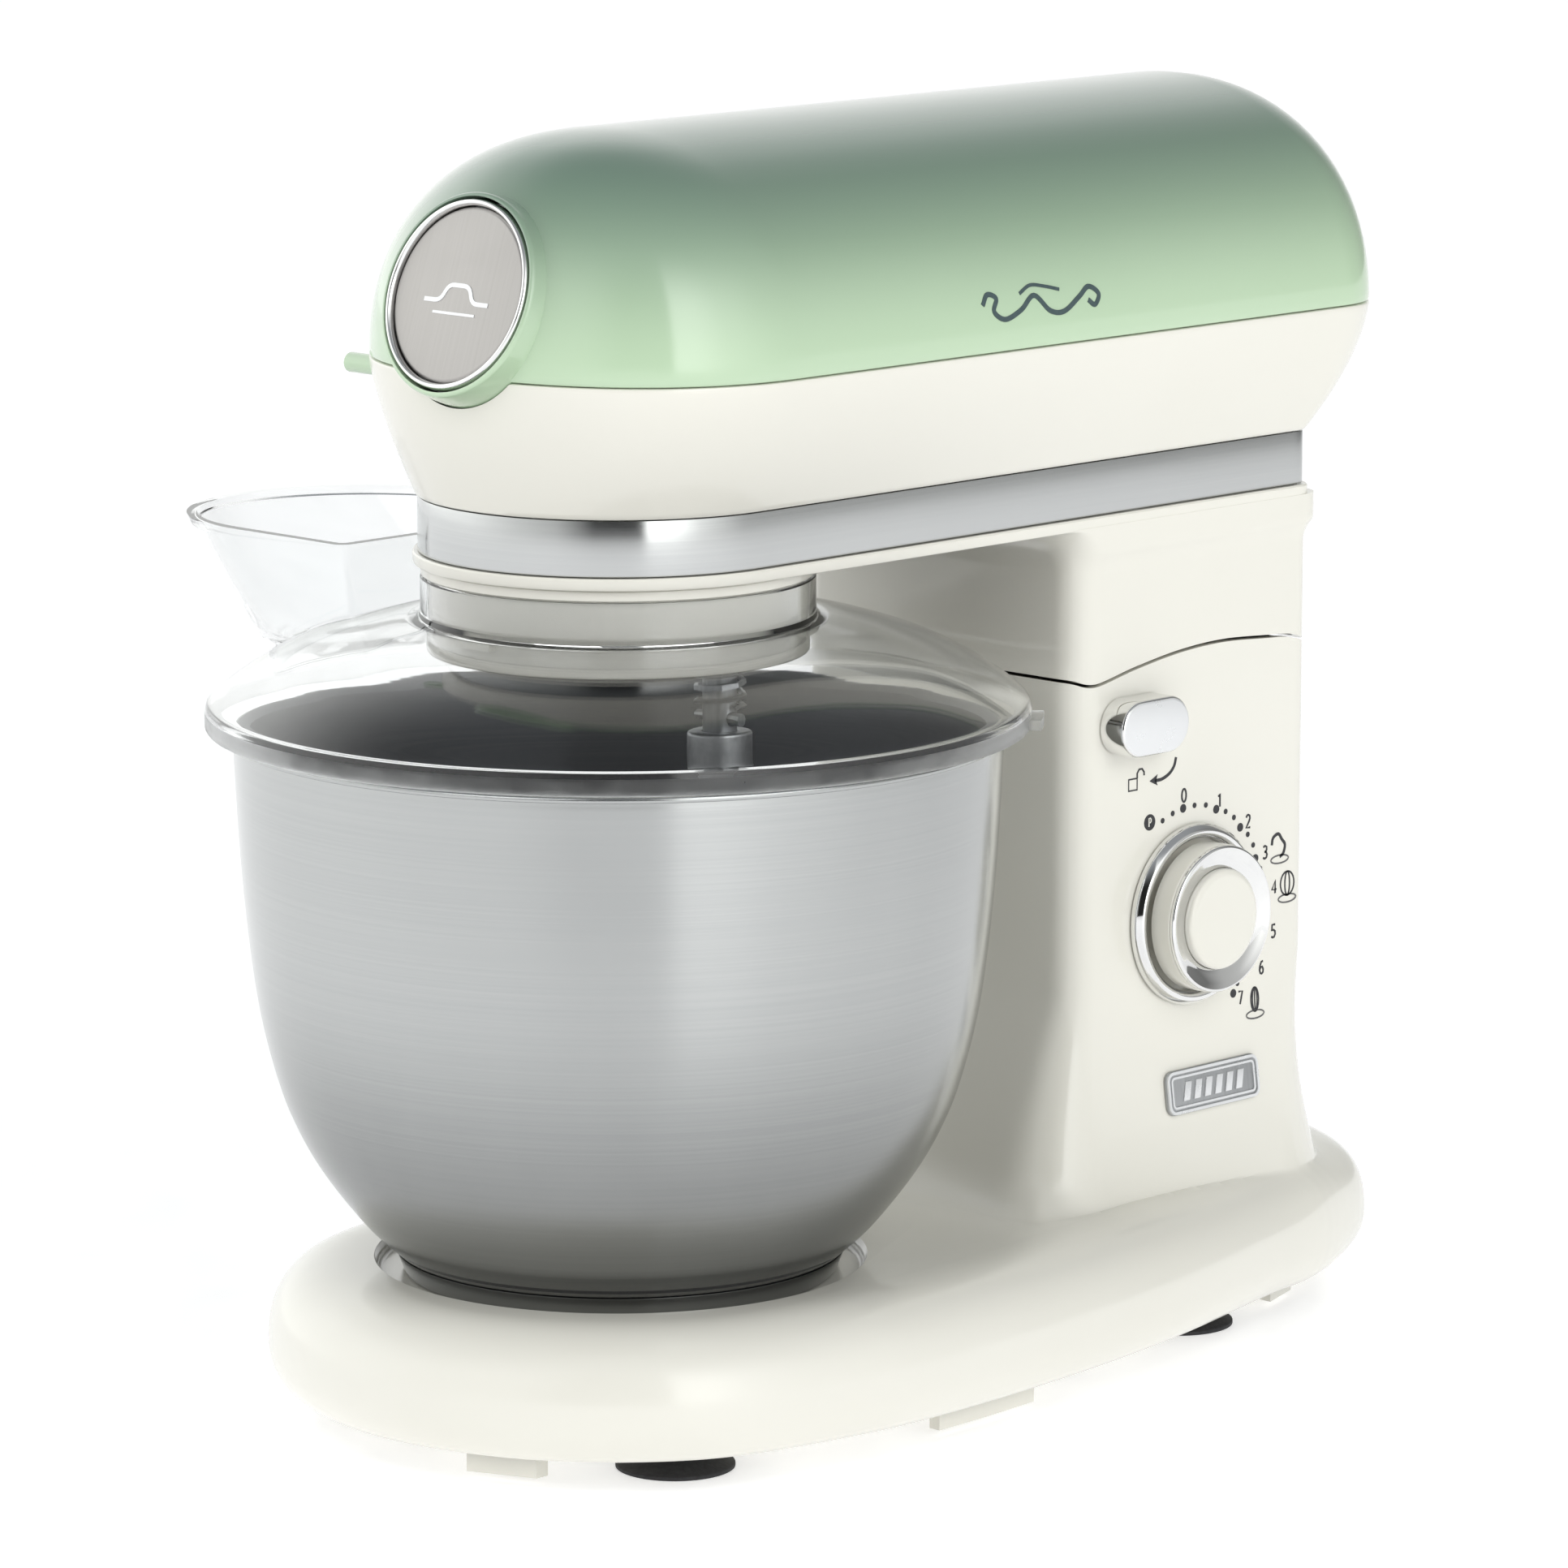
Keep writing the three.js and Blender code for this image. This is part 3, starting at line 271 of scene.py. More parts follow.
# Near-black steel for the bowl's inside: painted shade and painted dark reflection; the real inside is the
# same steel as the outside.
painted_shade_inner_steel = steel_round_axis("painted_shade_inner_steel", (0.075, 0.077, 0.084), (0.10, 0.102, 0.11), 0.3, 0.5, 0.012)
band_steel = steel_round_axis("band_steel", (0.53, 0.54, 0.54), (0.58, 0.59, 0.585), 0.17, 0.85, 0.01)
chrome = polished_metal("chrome_plate", (0.80, 0.80, 0.80), (0.88, 0.88, 0.87), 0.05)
satin_chrome = polished_metal("satin_chrome", (0.78, 0.79, 0.80), (0.84, 0.85, 0.86), 0.3, 0.5)
disc_metal = brushed_metal("cap_metal", (900, 4, 4), (0.43, 0.415, 0.40), (0.49, 0.475, 0.46), 0.42, 0.2,
                           0.02)
badge_metal = brushed_metal("badge_metal", (4, 900, 4), (0.40, 0.41, 0.42), (0.52, 0.53, 0.54), 0.45, 0.2,
                            0.03)
machined = brushed_metal("machined_steel", (700, 700, 40), (0.36, 0.37, 0.38), (0.52, 0.53, 0.54), 0.34, 0.3,
                         0.05)
cast = rough_solid("cast_aluminium", (0.42, 0.43, 0.44), (0.55, 0.56, 0.57), 0.48, 420, 1.0, 0.25)
dark_steel = rough_solid("laminated_steel", (0.07, 0.068, 0.065), (0.13, 0.125, 0.12), 0.5, 300, 0.8, 0.3)
rubber = rough_solid("black_rubber", (0.012, 0.012, 0.014), (0.03, 0.03, 0.033), 0.7, 700, 0.0, 0.4)
nylon = rough_solid("natural_nylon", (0.62, 0.58, 0.47), (0.72, 0.68, 0.57), 0.5, 240, 0.0, 0.15)
copper = brushed_metal("turned_copper", (60, 900, 60), (0.50, 0.22, 0.11), (0.68, 0.34, 0.18), 0.3, 0.2, 0.1)
board = rough_solid("board_green", (0.02, 0.13, 0.05), (0.04, 0.19, 0.08), 0.45, 500, 0.0, 0.3)
clear = clear_plastic("clear_plastic", 0.017)
frosted = clear_plastic("frosted_plastic", 0.4)
ink = printed_ink("printed_ink", (0.02, 0.02, 0.023), (0.035, 0.035, 0.04))
grey_ink = printed_ink("grey_ink", (0.10, 0.10, 0.10), (0.14, 0.14, 0.14))
slate_ink = printed_ink("slate_ink", (0.045, 0.075, 0.08), (0.06, 0.095, 0.10))

# ---- mesh tools


SHARP = radians(32)
ON_AXIS = 1e-6


def finish_mesh(obj):
    for polygon in obj.data.polygons:
        polygon.use_smooth = True
    obj.data.set_sharp_from_angle(angle=SHARP)


def piece(name, points, faces, look):
    """A new mesh object from points in millimetres from the bowl's axis."""
    mesh = bpy.data.meshes.new(name)
    mesh.from_pydata([place(*p) for p in points], [], faces)
    mesh.validate()
    mesh.materials.append(look)
    obj = bpy.data.objects.new(name, mesh)
    scene.collection.objects.link(obj)
    finish_mesh(obj)
    return obj


def combine(obj, tool, operation="DIFFERENCE"):
    """A boolean with another piece, which it uses up."""
    modifier = obj.modifiers.new("combine", "BOOLEAN")
    modifier.object = tool
    modifier.operation = operation
    modifier.solver = "EXACT"
    evaluated = obj.evaluated_get(bpy.context.evaluated_depsgraph_get())
    mesh = bpy.data.meshes.new_from_object(evaluated)
    obj.modifiers.clear()
    obj.data = mesh
    finish_mesh(obj)
    bpy.data.objects.remove(tool)


def merge(objects, name):
    """Joins pieces that share a body into one object, keeping their materials."""
    first = objects[0]
    with bpy.context.temp_override(active_object=first, selected_editable_objects=objects):
        bpy.ops.object.join()
    first.name = name
    return first


def loft(name, rings, look, wrap=False):
    """A skin over rings of equal length, each anticlockwise from above, going up the outside."""
    around = len(rings[0])
    points = [p for ring in rings for p in ring]
    levels = len(rings)
    faces = []
    for level in range(levels if wrap else levels - 1):
        low, high = level * around, ((level + 1) % levels) * around
        faces += [(low + i, low + (i + 1) % around, high + (i + 1) % around, high + i) for i in range(around)]
    if not wrap:
        faces.append(tuple(reversed(range(around))))
        faces.append(tuple(range((levels - 1) * around, levels * around)))
    return piece(name, points, faces, look)


def one_each(radius, corners):
    return radius if isinstance(radius, list) else [radius] * len(corners)


def rounded(corners, radius, steps=4):
    """An open line of 2-D corners, with each inner corner rounded off; radius is one number or one each."""
    line = [corners[0]]
    for before, corner, after, r in zip(corners, corners[1:], corners[2:], one_each(radius, corners)[1:]):
        here = Vector(corner)
        back, ahead = Vector(before) - here, Vector(after) - here
        reach = min(r, back.length * 0.45, ahead.length * 0.45)
        start, end = here + back.normalized() * reach, here + ahead.normalized() * reach
        for k in range(steps + 1):
            t = k / steps
            line.append(tuple(start * (1 - t) ** 2 + here * 2 * t * (1 - t) + end * t ** 2))
    line.append(corners[-1])
    return line


def on_z(x, y, height):
    return (x, y, height)


def on_dial(x, y, out):
    return (out, DIAL_Y + x, DIAL_Z + y)


def on_nose(x, y, out):
    c, s = cos(NOSE_TILT), sin(NOSE_TILT)
    return (x, NOSE_Y + s * y - c * out, NOSE_Z + c * y + s * out)


def along_x(y, z, out):
    return (out, y, z)


def on_side(at_y, at_z):
    return lambda x, y, out: (out, at_y + x, at_z + y)


def turned(name, profile, look, segments=96, to=on_z):
    """A profile of (radius, height) turned about an axis. It starts and ends there, or closes on itself."""
    points, faces, rows = [], [], []
    for radius, height in profile:
        if radius < ON_AXIS:
            rows.append([len(points)] * segments)
            points.append(to(0, 0, height))
        else:
            rows.append(list(range(len(points), len(points) + segments)))
            for k in range(segments):
                turn = 2 * pi * k / segments
                points.append(to(radius * cos(turn), radius * sin(turn), height))
    pairs = list(zip(rows, rows[1:]))
    if profile[0][0] >= ON_AXIS:
        pairs.append((rows[-1], rows[0]))
    for low, high in pairs:
        for k in range(segments):
            j = (k + 1) % segments
            face = list(dict.fromkeys([low[k], low[j], high[j], high[k]]))
            if len(face) > 2:
                faces.append(tuple(face))
    return piece(name, points, faces, look)


def rod(name, to, radius, low, high, look, segments=48):
    return turned(name, [(0, low), (radius, low), (radius, high), (0, high)], look, segments, to)


def prism(name, outline, low, high, look, to, rim=0.0, rim_steps=3):
    """A flat outline pushed from one height to another, its far edge rounded by rim."""
    middle_x = sum(p[0] for p in outline) / len(outline)
    middle_y = sum(p[1] for p in outline) / len(outline)
    half_x = max(abs(p[0] - middle_x) for p in outline)
    half_y = max(abs(p[1] - middle_y) for p in outline)
    rows = [(0, low), (0, high - rim)]
    if rim:
        turns = [pi / 2 * k / rim_steps for k in range(1, rim_steps + 1)]
        rows += [(rim * (1 - cos(t)), high - rim + rim * sin(t)) for t in turns]
    rings = [[to(middle_x + (x - middle_x) * (1 - inset / half_x),
                 middle_y + (y - middle_y) * (1 - inset / half_y), height) for x, y in outline]
             for inset, height in rows]
    return loft(name, rings, look)


def stroke(name, line, width, look, to, low, high, loop=False):
    """A flat line of some width in a plane, pushed from low to high."""
    n = len(line)
    left, right = [], []
    for i, (x, y) in enumerate(line):
        before = line[(i - 1) % n] if loop or i else line[0]
        after = line[(i + 1) % n] if loop or i < n - 1 else line[-1]
        along = Vector((after[0] - before[0], after[1] - before[1])).normalized() * width / 2
        left.append((x - along.y, y + along.x))
        right.append((x + along.y, y - along.x))
    points = [to(x, y, h) for h in (low, high) for side in (right, left) for x, y in side]
    faces = []
    for i in range(n if loop else n - 1):
        j = (i + 1) % n
        r0, l0, r1, l1 = i, n + i, 2 * n + i, 3 * n + i
        r0n, l0n, r1n, l1n = j, n + j, 2 * n + j, 3 * n + j
        faces += [(r1, r1n, l1n, l1), (l0, l0n, r0n, r0), (r0, r0n, r1n, r1), (l1, l1n, l0n, l0)]
    if not loop:
        faces += [(0, 2 * n, 3 * n, n), (n - 1, 2 * n - 1, 4 * n - 1, 3 * n - 1)]
    return piece(name, points, faces, look)


def oval_line(centre, wide, high, turns):
    """Points round an oval, at turns in degrees anticlockwise from the x axis."""
    turns = [radians(turn) for turn in turns]
    return [(centre[0] + wide * cos(t), centre[1] + high * sin(t)) for t in turns]


def arc_line(radius, start, end, steps=16, centre=(0, 0)):
    return oval_line(centre, radius, radius, [start + (end - start) * k / steps for k in range(steps + 1)])


def fit(obj, body, *replaced, slot):
    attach(obj, body)
    if replaced:
        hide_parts(*replaced)
    return obj


# ---- outlines
SPLINE_STEPS = 24
KNOT_PAIRS = [((0, 1), (1, 2), (2, 3)), ((0, 2), (1, 3)), ((1, 2),)]


def closed_spline(points, count):
    """A smooth closed line through 2-D points, resampled to equal steps."""
    spots = [Vector(p) for p in points]
    line = []
    for i in range(len(spots)):
        four = [spots[(i + k - 1) % len(spots)] for k in range(4)]
        knots = [0.0]
        for p, q in zip(four, four[1:]):
            knots.append(knots[-1] + sqrt((q - p).length))
        for step in range(SPLINE_STEPS):
            t = knots[1] + (knots[2] - knots[1]) * step / SPLINE_STEPS
            row = four
            for pairs in KNOT_PAIRS:
                ends = [(knots[a], knots[b]) for a, b in pairs]
                row = [p * ((end - t) / (end - start)) + q * ((t - start) / (end - start))
                       for p, q, (start, end) in zip(row, row[1:], ends)]
            line.append(row[0])
    line = np.array([tuple(p) for p in line] + [tuple(line[0])])
    travel = np.concatenate([[0], np.cumsum(np.linalg.norm(np.diff(line, axis=0), axis=1))])
    at = np.linspace(0, travel[-1], count, endpoint=False)
    return np.stack([np.interp(at, travel, line[:, k]) for k in (0, 1)], axis=1)


def smooth_line(points, per=6):
    """A smooth open line through points."""
    spots = [Vector(p) for p in points]
    spots = [spots[0] * 2 - spots[1]] + spots + [spots[-1] * 2 - spots[-2]]
    line = []
    for p0, p1, p2, p3 in zip(spots, spots[1:], spots[2:], spots[3:]):
        for t in (step / per for step in range(per)):
            bend = p1 * 2 + (p2 - p0) * t + (p0 * 2 - p1 * 5 + p2 * 4 - p3) * t ** 2
            line.append(tuple((bend + (p1 * 3 - p0 - p2 * 3 + p3) * t ** 3) / 2))
    line.append(tuple(spots[-2]))
    return line


def round_loop(corners, radius, steps=4):
    """A closed outline with all its corners rounded off."""
    looped = [corners[-1]] + list(corners) + [corners[0]]
    return rounded(looped, [0, *one_each(radius, corners), 0], steps)[1:-1]


BASE_RIGHT = [(0, -104), (52, -90), (90, -52), (104, 0), (106, 33), (103, 90),
              (95, 147), (80, 209), (72, 236), (56, 272), (30, 288), (0, 292)]
BASE_LEFT = [(-x, y) for x, y in BASE_RIGHT[-2:0:-1]]
BASE_LINE = closed_spline(BASE_RIGHT + BASE_LEFT, 400)
BASE_BOTTOM, BASE_WIDEST, BASE_TOP = span("base_shell")[0].z, 22.6, 47.0
BASE_TUCK, BASE_SHOULDER = 12.0, 28.0


def base_inset(z):
    """How far the base's outline lies inside its widest line at a height."""
    if z < BASE_WIDEST:
        down = (BASE_WIDEST - z) / (BASE_WIDEST - BASE_BOTTOM)
        return BASE_TUCK * (1 - sqrt(max(0, 1 - down ** 2)))
    up = min(1, (z - BASE_WIDEST) / (BASE_TOP - BASE_WIDEST))
    return BASE_SHOULDER * (1 - max(0, 1 - up ** 2.5) ** 0.4)


def offset_inwards(line, inset):
    ahead = np.roll(line, -1, axis=0) - np.roll(line, 1, axis=0)
    ahead /= np.linalg.norm(ahead, axis=1)[:, None]
    return line + np.stack([-ahead[:, 1], ahead[:, 0]], axis=1) * inset


FLARE_TOP, FLARE_HEIGHT, FLARE = 112, 70, 9


def flare_at(z):
    return min(1, max(0, (FLARE_TOP - z) / FLARE_HEIGHT))


def column_side(z):
    return COLUMN_SIDE + FLARE * flare_at(z) ** 2


def rounded_ring(half_width, front, rear, front_radius, rear_radius, steps=10):
    corners = [(-half_width + front_radius, front + front_radius, front_radius, 180),
               (half_width - front_radius, front + front_radius, front_radius, 270),
               (half_width - rear_radius, rear - rear_radius, rear_radius, 0),
               (-half_width + rear_radius, rear - rear_radius, rear_radius, 90)]
    return [p for x, y, r, start in corners for p in arc_line(r, start, start + 90, steps, (x, y))]


def column_line(z, inset):
    down = flare_at(z)
    return rounded_ring(column_side(z) - inset, COLUMN_FRONT - 20 * down ** 1.2 + inset,
                        COLUMN_REAR + 22 * down ** 1.8 - inset,
                        10 + 14 * down - inset, 6 + 34 * down ** 1.3 - inset)


# The base and column are one skin, measured outwards from a line inside the column.
COLUMN_MIDDLE = 165.0
TURNS = np.linspace(-pi, pi, 480, endpoint=False)


def reach_of(line):
    """Distance of a closed outline from the middle of the column, in each direction."""
    line = np.array(line)
    along = np.linspace(0, 1, 100, endpoint=False)[None, :, None]
    dense = (line[:, None, :] * (1 - along) + np.roll(line, -1, axis=0)[:, None, :] * along).reshape(-1, 2)
    x, y = dense[:, 0], dense[:, 1] - COLUMN_MIDDLE
    turn = np.arctan2(y, x)
    order = np.argsort(turn)
    return np.interp(TURNS, turn[order], np.hypot(x, y)[order], period=2 * pi)


def smooth_max(a, b, blend):
    if blend < 1e-6:
        return np.maximum(a, b)
    near = np.maximum(0, 1 - np.abs(a - b) / blend)
    return np.maximum(a, b) + blend / 4 * near ** 2


def skin_ring(reach, z):
    return [(r * cos(t), COLUMN_MIDDLE + r * sin(t), z) for r, t in zip(reach, TURNS)]


def base_skin(name, inset, bottom, top, column_top, look):
    """The base's pebble and the column as one skin; inset moves it inwards."""
    def pebble(z):
        lift = max(z, BASE_BOTTOM)
        tuck = max(base_inset(lift), base_inset(min(BASE_TOP, lift + inset)))
        return reach_of(offset_inwards(BASE_LINE, tuck + inset))

    rise = [1 - (1 - k / 18) ** 2 for k in range(19)]
    low = [bottom + (BASE_WIDEST - bottom) * k / 8 for k in range(8)]
    levels = low + [BASE_WIDEST + (top - BASE_WIDEST) * t for t in rise]
    rings = []
    for z in levels:
        blend = 14 * min(1, (top - z) / 9)
        rings.append(skin_ring(smooth_max(pebble(z), reach_of(column_line(z, inset)), blend), z))
    brim = pebble(top)
    fillet = 12.0
    for k in range(9):
        up = fillet * (1 - cos(pi / 2 * k / 8))
        side = fillet * (1 - sin(pi / 2 * k / 8))
        column = reach_of(column_line(top + up, inset))
        room = np.clip((brim - column) / (2 * fillet), 0, 1)
        rings.append(skin_ring(column + side * room, top + up))
    for z in (*range(64, FLARE_TOP + 1, 6), 140, 170, 196, column_top):
        rings.append(skin_ring(reach_of(column_line(z, inset)), z))
    return loft(name, rings, look)


def half_oval(start, centre_y, width, depth, power, steps):
    points = []
    for i in range(steps + 1):
        turn = pi * (start + i / steps)
        c, s = cos(turn), sin(turn)
        points.append((width * copysign(abs(c) ** (2 / power), c),
                       centre_y + depth * copysign(abs(s) ** (2 / power), s)))
    return points


def head_ring(z, width, front, rear_centre, rear, front_power, rear_power, steps=64):
    """Half an oval at the front, half at the rear, with straight sides between."""
    line = half_oval(1, 0, width, front, front_power, steps)
    line += half_oval(0, rear_centre, width, rear, rear_power, steps)
    return [(x, y, z) for x, y in line]


HEAD_WIDTH, HEAD_FRONT, REAR_CENTRE, REAR_BULGE = 74.0, 65.0, 236.0, 40.0
COVER_POWER = 2.15
WAIST, WAIST_REAR = 58.6, 231


def cover_ring(climb, inset, z=None):
    rise = sin(radians(climb)) ** (2 / COVER_POWER)
    left = cos(radians(climb))
    return head_ring(SEAM_Z + rise * (HEAD_TOP - inset - SEAM_Z) if z is None else z,
                     (HEAD_WIDTH - inset) * left ** (2 / COVER_POWER),
                     (HEAD_FRONT - inset) * left ** (2 / 2.6),
                     REAR_CENTRE, (REAR_BULGE - inset) * left ** (2 / 2.3), 2.2, 2.2)


def shell_ring(t, z, inset):
    swell = 1 - (1 - t) ** 1.4

    def mix(low, high):
        return low + (high - low) * swell

    return head_ring(z, mix(WAIST, HEAD_WIDTH) - inset, mix(WAIST, HEAD_FRONT) - inset,
                     mix(WAIST_REAR, REAR_CENTRE),
                     mix(12, REAR_BULGE) - inset, mix(2, 2.2), mix(3.5, 2.2))


def band_ring(z, radius):
    return head_ring(z, radius, radius, WAIST_REAR, radius - 46, 2, 3.5)


def joint_line(shift):
    """The line between the fixed column and the tilting arm, as (y, z) points."""
    crest = smooth_line([(120, 207), (134, 207), (142, 205.3), (160, 208.6), (180, 211.4), (200, 212.3),
                         (HINGE_Y, HINGE_Z + HINGE_RADIUS)], 8)
    arc = arc_line(HINGE_RADIUS + shift, 85, 60, 5, (HINGE_Y, HINGE_Z))
    return [(y, z + shift) for y, z in crest] + arc


def joint_block(shift, far_z):
    """Everything over, or under, the joint line."""
    line = joint_line(shift)
    outline = line + [(275, line[-1][1]), (275, far_z), (90, far_z), (90, line[0][1])]
    if far_z < line[0][1]:
        outline = outline[::-1]
    return prism("joint_block", outline, -95, 95, cream, along_x)


# ---- base and column
base_shell = base_skin("base_moulding", 0, BASE_BOTTOM, BASE_TOP, 225, cream)
combine(base_shell, base_skin("base_inside", WALL, BASE_BOTTOM - 1, BASE_TOP - WALL, 226, cream))
combine(base_shell, turned("dish_tray", [(20, 39.5), (76, 39.5), (76, 46), (20, 46)], cream, 160), "UNION")
dish = rounded([(0, 43), (71, 43), (71, 45.6), (73, 47.3), (73, 62), (0, 62)], [0, 1.6, 1.2, 1.2, 0, 0])
combine(base_shell, turned("dish_space", dish, cream, 192))
combine(base_shell, rod("spigot_hole", on_z, 20, 30, 60, cream))
combine(base_shell, joint_block(-0.5, 262))
combine(base_shell, rod("knob_hole", on_dial, 7, 40, 80, cream))
combine(base_shell, rod("lever_hole", on_side(LEVER_Y, LEVER_Z), 4.6, 40, 80, cream))
fit(base_shell, "base", "base_shell", slot="cream")

# ---- feet, badge and dial ring
for foot in [name for name in nodes if name.startswith("suction_foot")]:
    at = middle(foot) - AXIS_SHIFT
    cup = rounded([(0, 2.2), (10, 1.6), (15.5, 0), (17.3, 0), (17.3, 1.2), (11, 4.2), (9, BASE_BOTTOM),
                   (0, BASE_BOTTOM)], [0, 2, 0.1, 0.3, 0.3, 2, 0.4, 0])
    fit(turned(foot + "_cup", cup, rubber, 72, lambda x, y, z, at=at: (at.x + x, at.y + y, z)),
        "base", foot, slot="rubber")

BADGE_MIDDLE = 75.7
BADGE_TILT = atan(2 * FLARE * flare_at(BADGE_MIDDLE) / FLARE_HEIGHT)
BADGE_OUT = column_side(BADGE_MIDDLE) + 0.3


def on_badge(x, y, out):
    """The badge's own plane, which leans with the flared side of the column."""
    c, s = cos(BADGE_TILT), sin(BADGE_TILT)
    return (BADGE_OUT + out * c - y * s, BADGE_Y + x, BADGE_Z + y * c + out * s)


def rounded_box(width, height, radius):
    return rounded_ring(width / 2, -height / 2, height / 2, radius, radius, 8)


badge_parts = [
    prism("badge_plate", rounded_box(42, 13.6, 3), 0, 1.0, badge_metal, on_badge, rim=0.4),
    stroke("badge_rim", rounded_box(40.6, 12.2, 2.4), 0.9, satin_chrome, on_badge, 0.9, 1.38, loop=True),
    stroke("badge_frame", rounded_box(37.4, 9.2, 1.2), 0.7, satin_chrome, on_badge, 0.9, 1.3, loop=True),
]
for shift in (-12, -7.2, -2.4, 2.4, 7.2, 12):
    slant = [(shift - 2.2, -2.9), (shift + 0.6, -2.9), (shift + 2.2, 2.9), (shift - 0.6, 2.9)]
    badge_parts.append(prism("badge_bar", slant, 0.9, 1.35, satin_chrome, on_badge, rim=0.2))
fit(merge(badge_parts, "badge"), "base", "side_badge", slot="satin_metal")

bezel = round_loop([(23.6, 58.5), (27.9, 58.5), (27.9, 60.2), (26.2, 62.2), (24.9, 62.2), (23.6, 61)],
                   [0.1, 0.1, 1.2, 1.2, 0.8, 0.6])
fit(turned("bezel", bezel, chrome, 144, on_dial), "base", "dial_bezel", slot="chrome")


# ---- printed marks on the column's side
def on_column(y, z, out):
    return (column_side(z) + out, y, z)


INK = 0.12
DIGITS = {
    "0": [oval_line((0.5, 0.5), 0.42, 0.5, range(90, 451, 20))],
    "1": [[(0.22, 0.8), (0.55, 1.0), (0.55, 0.0)]],
    "2": [[(0.12, 0.8), (0.25, 0.95), (0.5, 1.0), (0.78, 0.92), (0.85, 0.72), (0.7, 0.5), (0.1, 0.0),
           (0.9, 0.0)]],
    "3": [[(0.12, 0.92), (0.45, 1.0), (0.78, 0.9), (0.8, 0.68), (0.6, 0.54), (0.38, 0.53)],
          [(0.38, 0.53), (0.7, 0.5), (0.88, 0.3), (0.75, 0.08), (0.42, 0.0), (0.08, 0.08)]],
    "4": [[(0.7, 0.0), (0.7, 1.0), (0.05, 0.3), (0.95, 0.3)]],
    "5": [[(0.82, 1.0), (0.22, 1.0), (0.18, 0.55), (0.5, 0.6), (0.8, 0.48), (0.86, 0.25), (0.65, 0.03),
           (0.35, 0.0), (0.08, 0.08)]],
    "6": [[(0.8, 0.98), (0.45, 0.92), (0.2, 0.6), (0.14, 0.3), (0.3, 0.05), (0.55, 0.0), (0.82, 0.12),
           (0.86, 0.35), (0.65, 0.55), (0.4, 0.54), (0.17, 0.36)]],
    "7": [[(0.1, 1.0), (0.88, 1.0), (0.35, 0.0)]],
    "P": [[(0.2, 0.0), (0.2, 1.0), (0.6, 1.0), (0.82, 0.86), (0.82, 0.6), (0.6, 0.47), (0.2, 0.47)]],
}
marks = []


def draw(line, width, look=ink, loop=False, low=0.0, high=INK):
    marks.append(stroke("mark", line, width, look, on_column, low, high, loop))


def digit(text, at_y, at_z, height=4.0, look=ink, low=0.0, high=INK):
    for line in DIGITS[text]:
        drawn = [(at_y + (x - 0.5) * height * 0.58, at_z + (z - 0.5) * height) for x, z in line]
        draw(drawn, height * 0.17, look, low=low, high=high)


def dot(at_y, at_z, radius, look=ink):
    marks.append(prism("mark", arc_line(radius, 0, 345, 23, (at_y, at_z)), 0, INK, look, on_column))


def on_scale(turn, radius):
    """A place round the dial: degrees clockwise from the top."""
    return DIAL_Y + radius * sin(radians(turn)), DIAL_Z + radius * cos(radians(turn))


SPEED_TURNS = [-7, 20, 43.5, 66.6, 88, 109, 128, 144.8]
NUMERAL_PLACES = [(182.3, 166.8), (198.7, 163.1), (212, 154.8), (220.1, 144), (224.5, 132.5), (224.4, 118.7),
                  (218.9, 108.1), (209.1, 100.1)]
PARK_TURN, SCALE_RADIUS = -32, 33.2
park = on_scale(PARK_TURN, 36.2)
dot(*park, 2.5)
digit("P", *park, 2.6, cream, INK, 2 * INK)
SPEED_RADII = [33.2, 32.6, 32.4, 32.2, 32.2, 32.6, 33.4, 34.2]
for k, (turn, radius) in enumerate(zip(SPEED_TURNS, SPEED_RADII)):
    dot(*on_scale(turn, radius), 1.35)
    digit(str(k), *NUMERAL_PLACES[k])
all_turns = [PARK_TURN] + SPEED_TURNS
for before, after in zip(all_turns, all_turns[1:]):
    for share in (1 / 3, 2 / 3):
        dot(*on_scale(before + (after - before) * share, SCALE_RADIUS), 0.85)


def stand(at_y, at_z, size):
    """The little plate drawn under each tool's sign."""
    draw(oval_line((at_y, at_z - size * 0.52), size * 0.55, size * 0.17, range(0, 360, 20)), 0.5, grey_ink,
         loop=True)


def hook_sign(at_y, at_z, size):
    hook = smooth_line([(-0.5, 0.12), (-0.42, 0.42), (-0.1, 0.55), (0.12, 0.3), (0.32, 0.05), (0.22, -0.3),
                        (0, -0.42)], 4)
    draw([(at_y + x * size, at_z + y * size) for x, y in hook], 1.0)
    stand(at_y, at_z, size)


def ribbed_sign(at_y, at_z, size, ribs, wide):
    for rib in ribs:
        draw(oval_line((at_y, at_z + 0.1 * size), wide * size * rib, size / 2, range(-90, 91, 15)), 0.55)
    stand(at_y, at_z, size)


SIGN_SIZE = 7.5
hook_sign(226.9, 144.8, SIGN_SIZE)
ribbed_sign(230.6, 132.1, SIGN_SIZE, (-1, -0.35, 0.35, 1), 0.42)
ribbed_sign(215.6, 97.9, SIGN_SIZE, (-1, -0.6, 0, 0.6, 1), 0.24)
draw(smooth_line([(178.5, 179.1), (177.7, 176.6), (175.6, 174.5), (172.2, 173.2), (169.0, 173.1)], 5), 1.0)
arrow_head = [(166.6, 173.2), (170.2, 171.5), (169.5, 173.2), (170.2, 174.9)]
marks.append(prism("mark", arrow_head, 0, INK, ink, on_column))
draw([(157.2, 171.4), (161.0, 171.4), (161.0, 174.9), (157.2, 174.9)], 0.6, loop=True)
draw([(161, 174.9), (161, 176.4), (161.9, 177.5), (163.2, 177.5), (164.1, 176.4), (164.1, 175.4)], 0.6)
fit(merge(marks, "dial_marks"), "base", slot="cream")

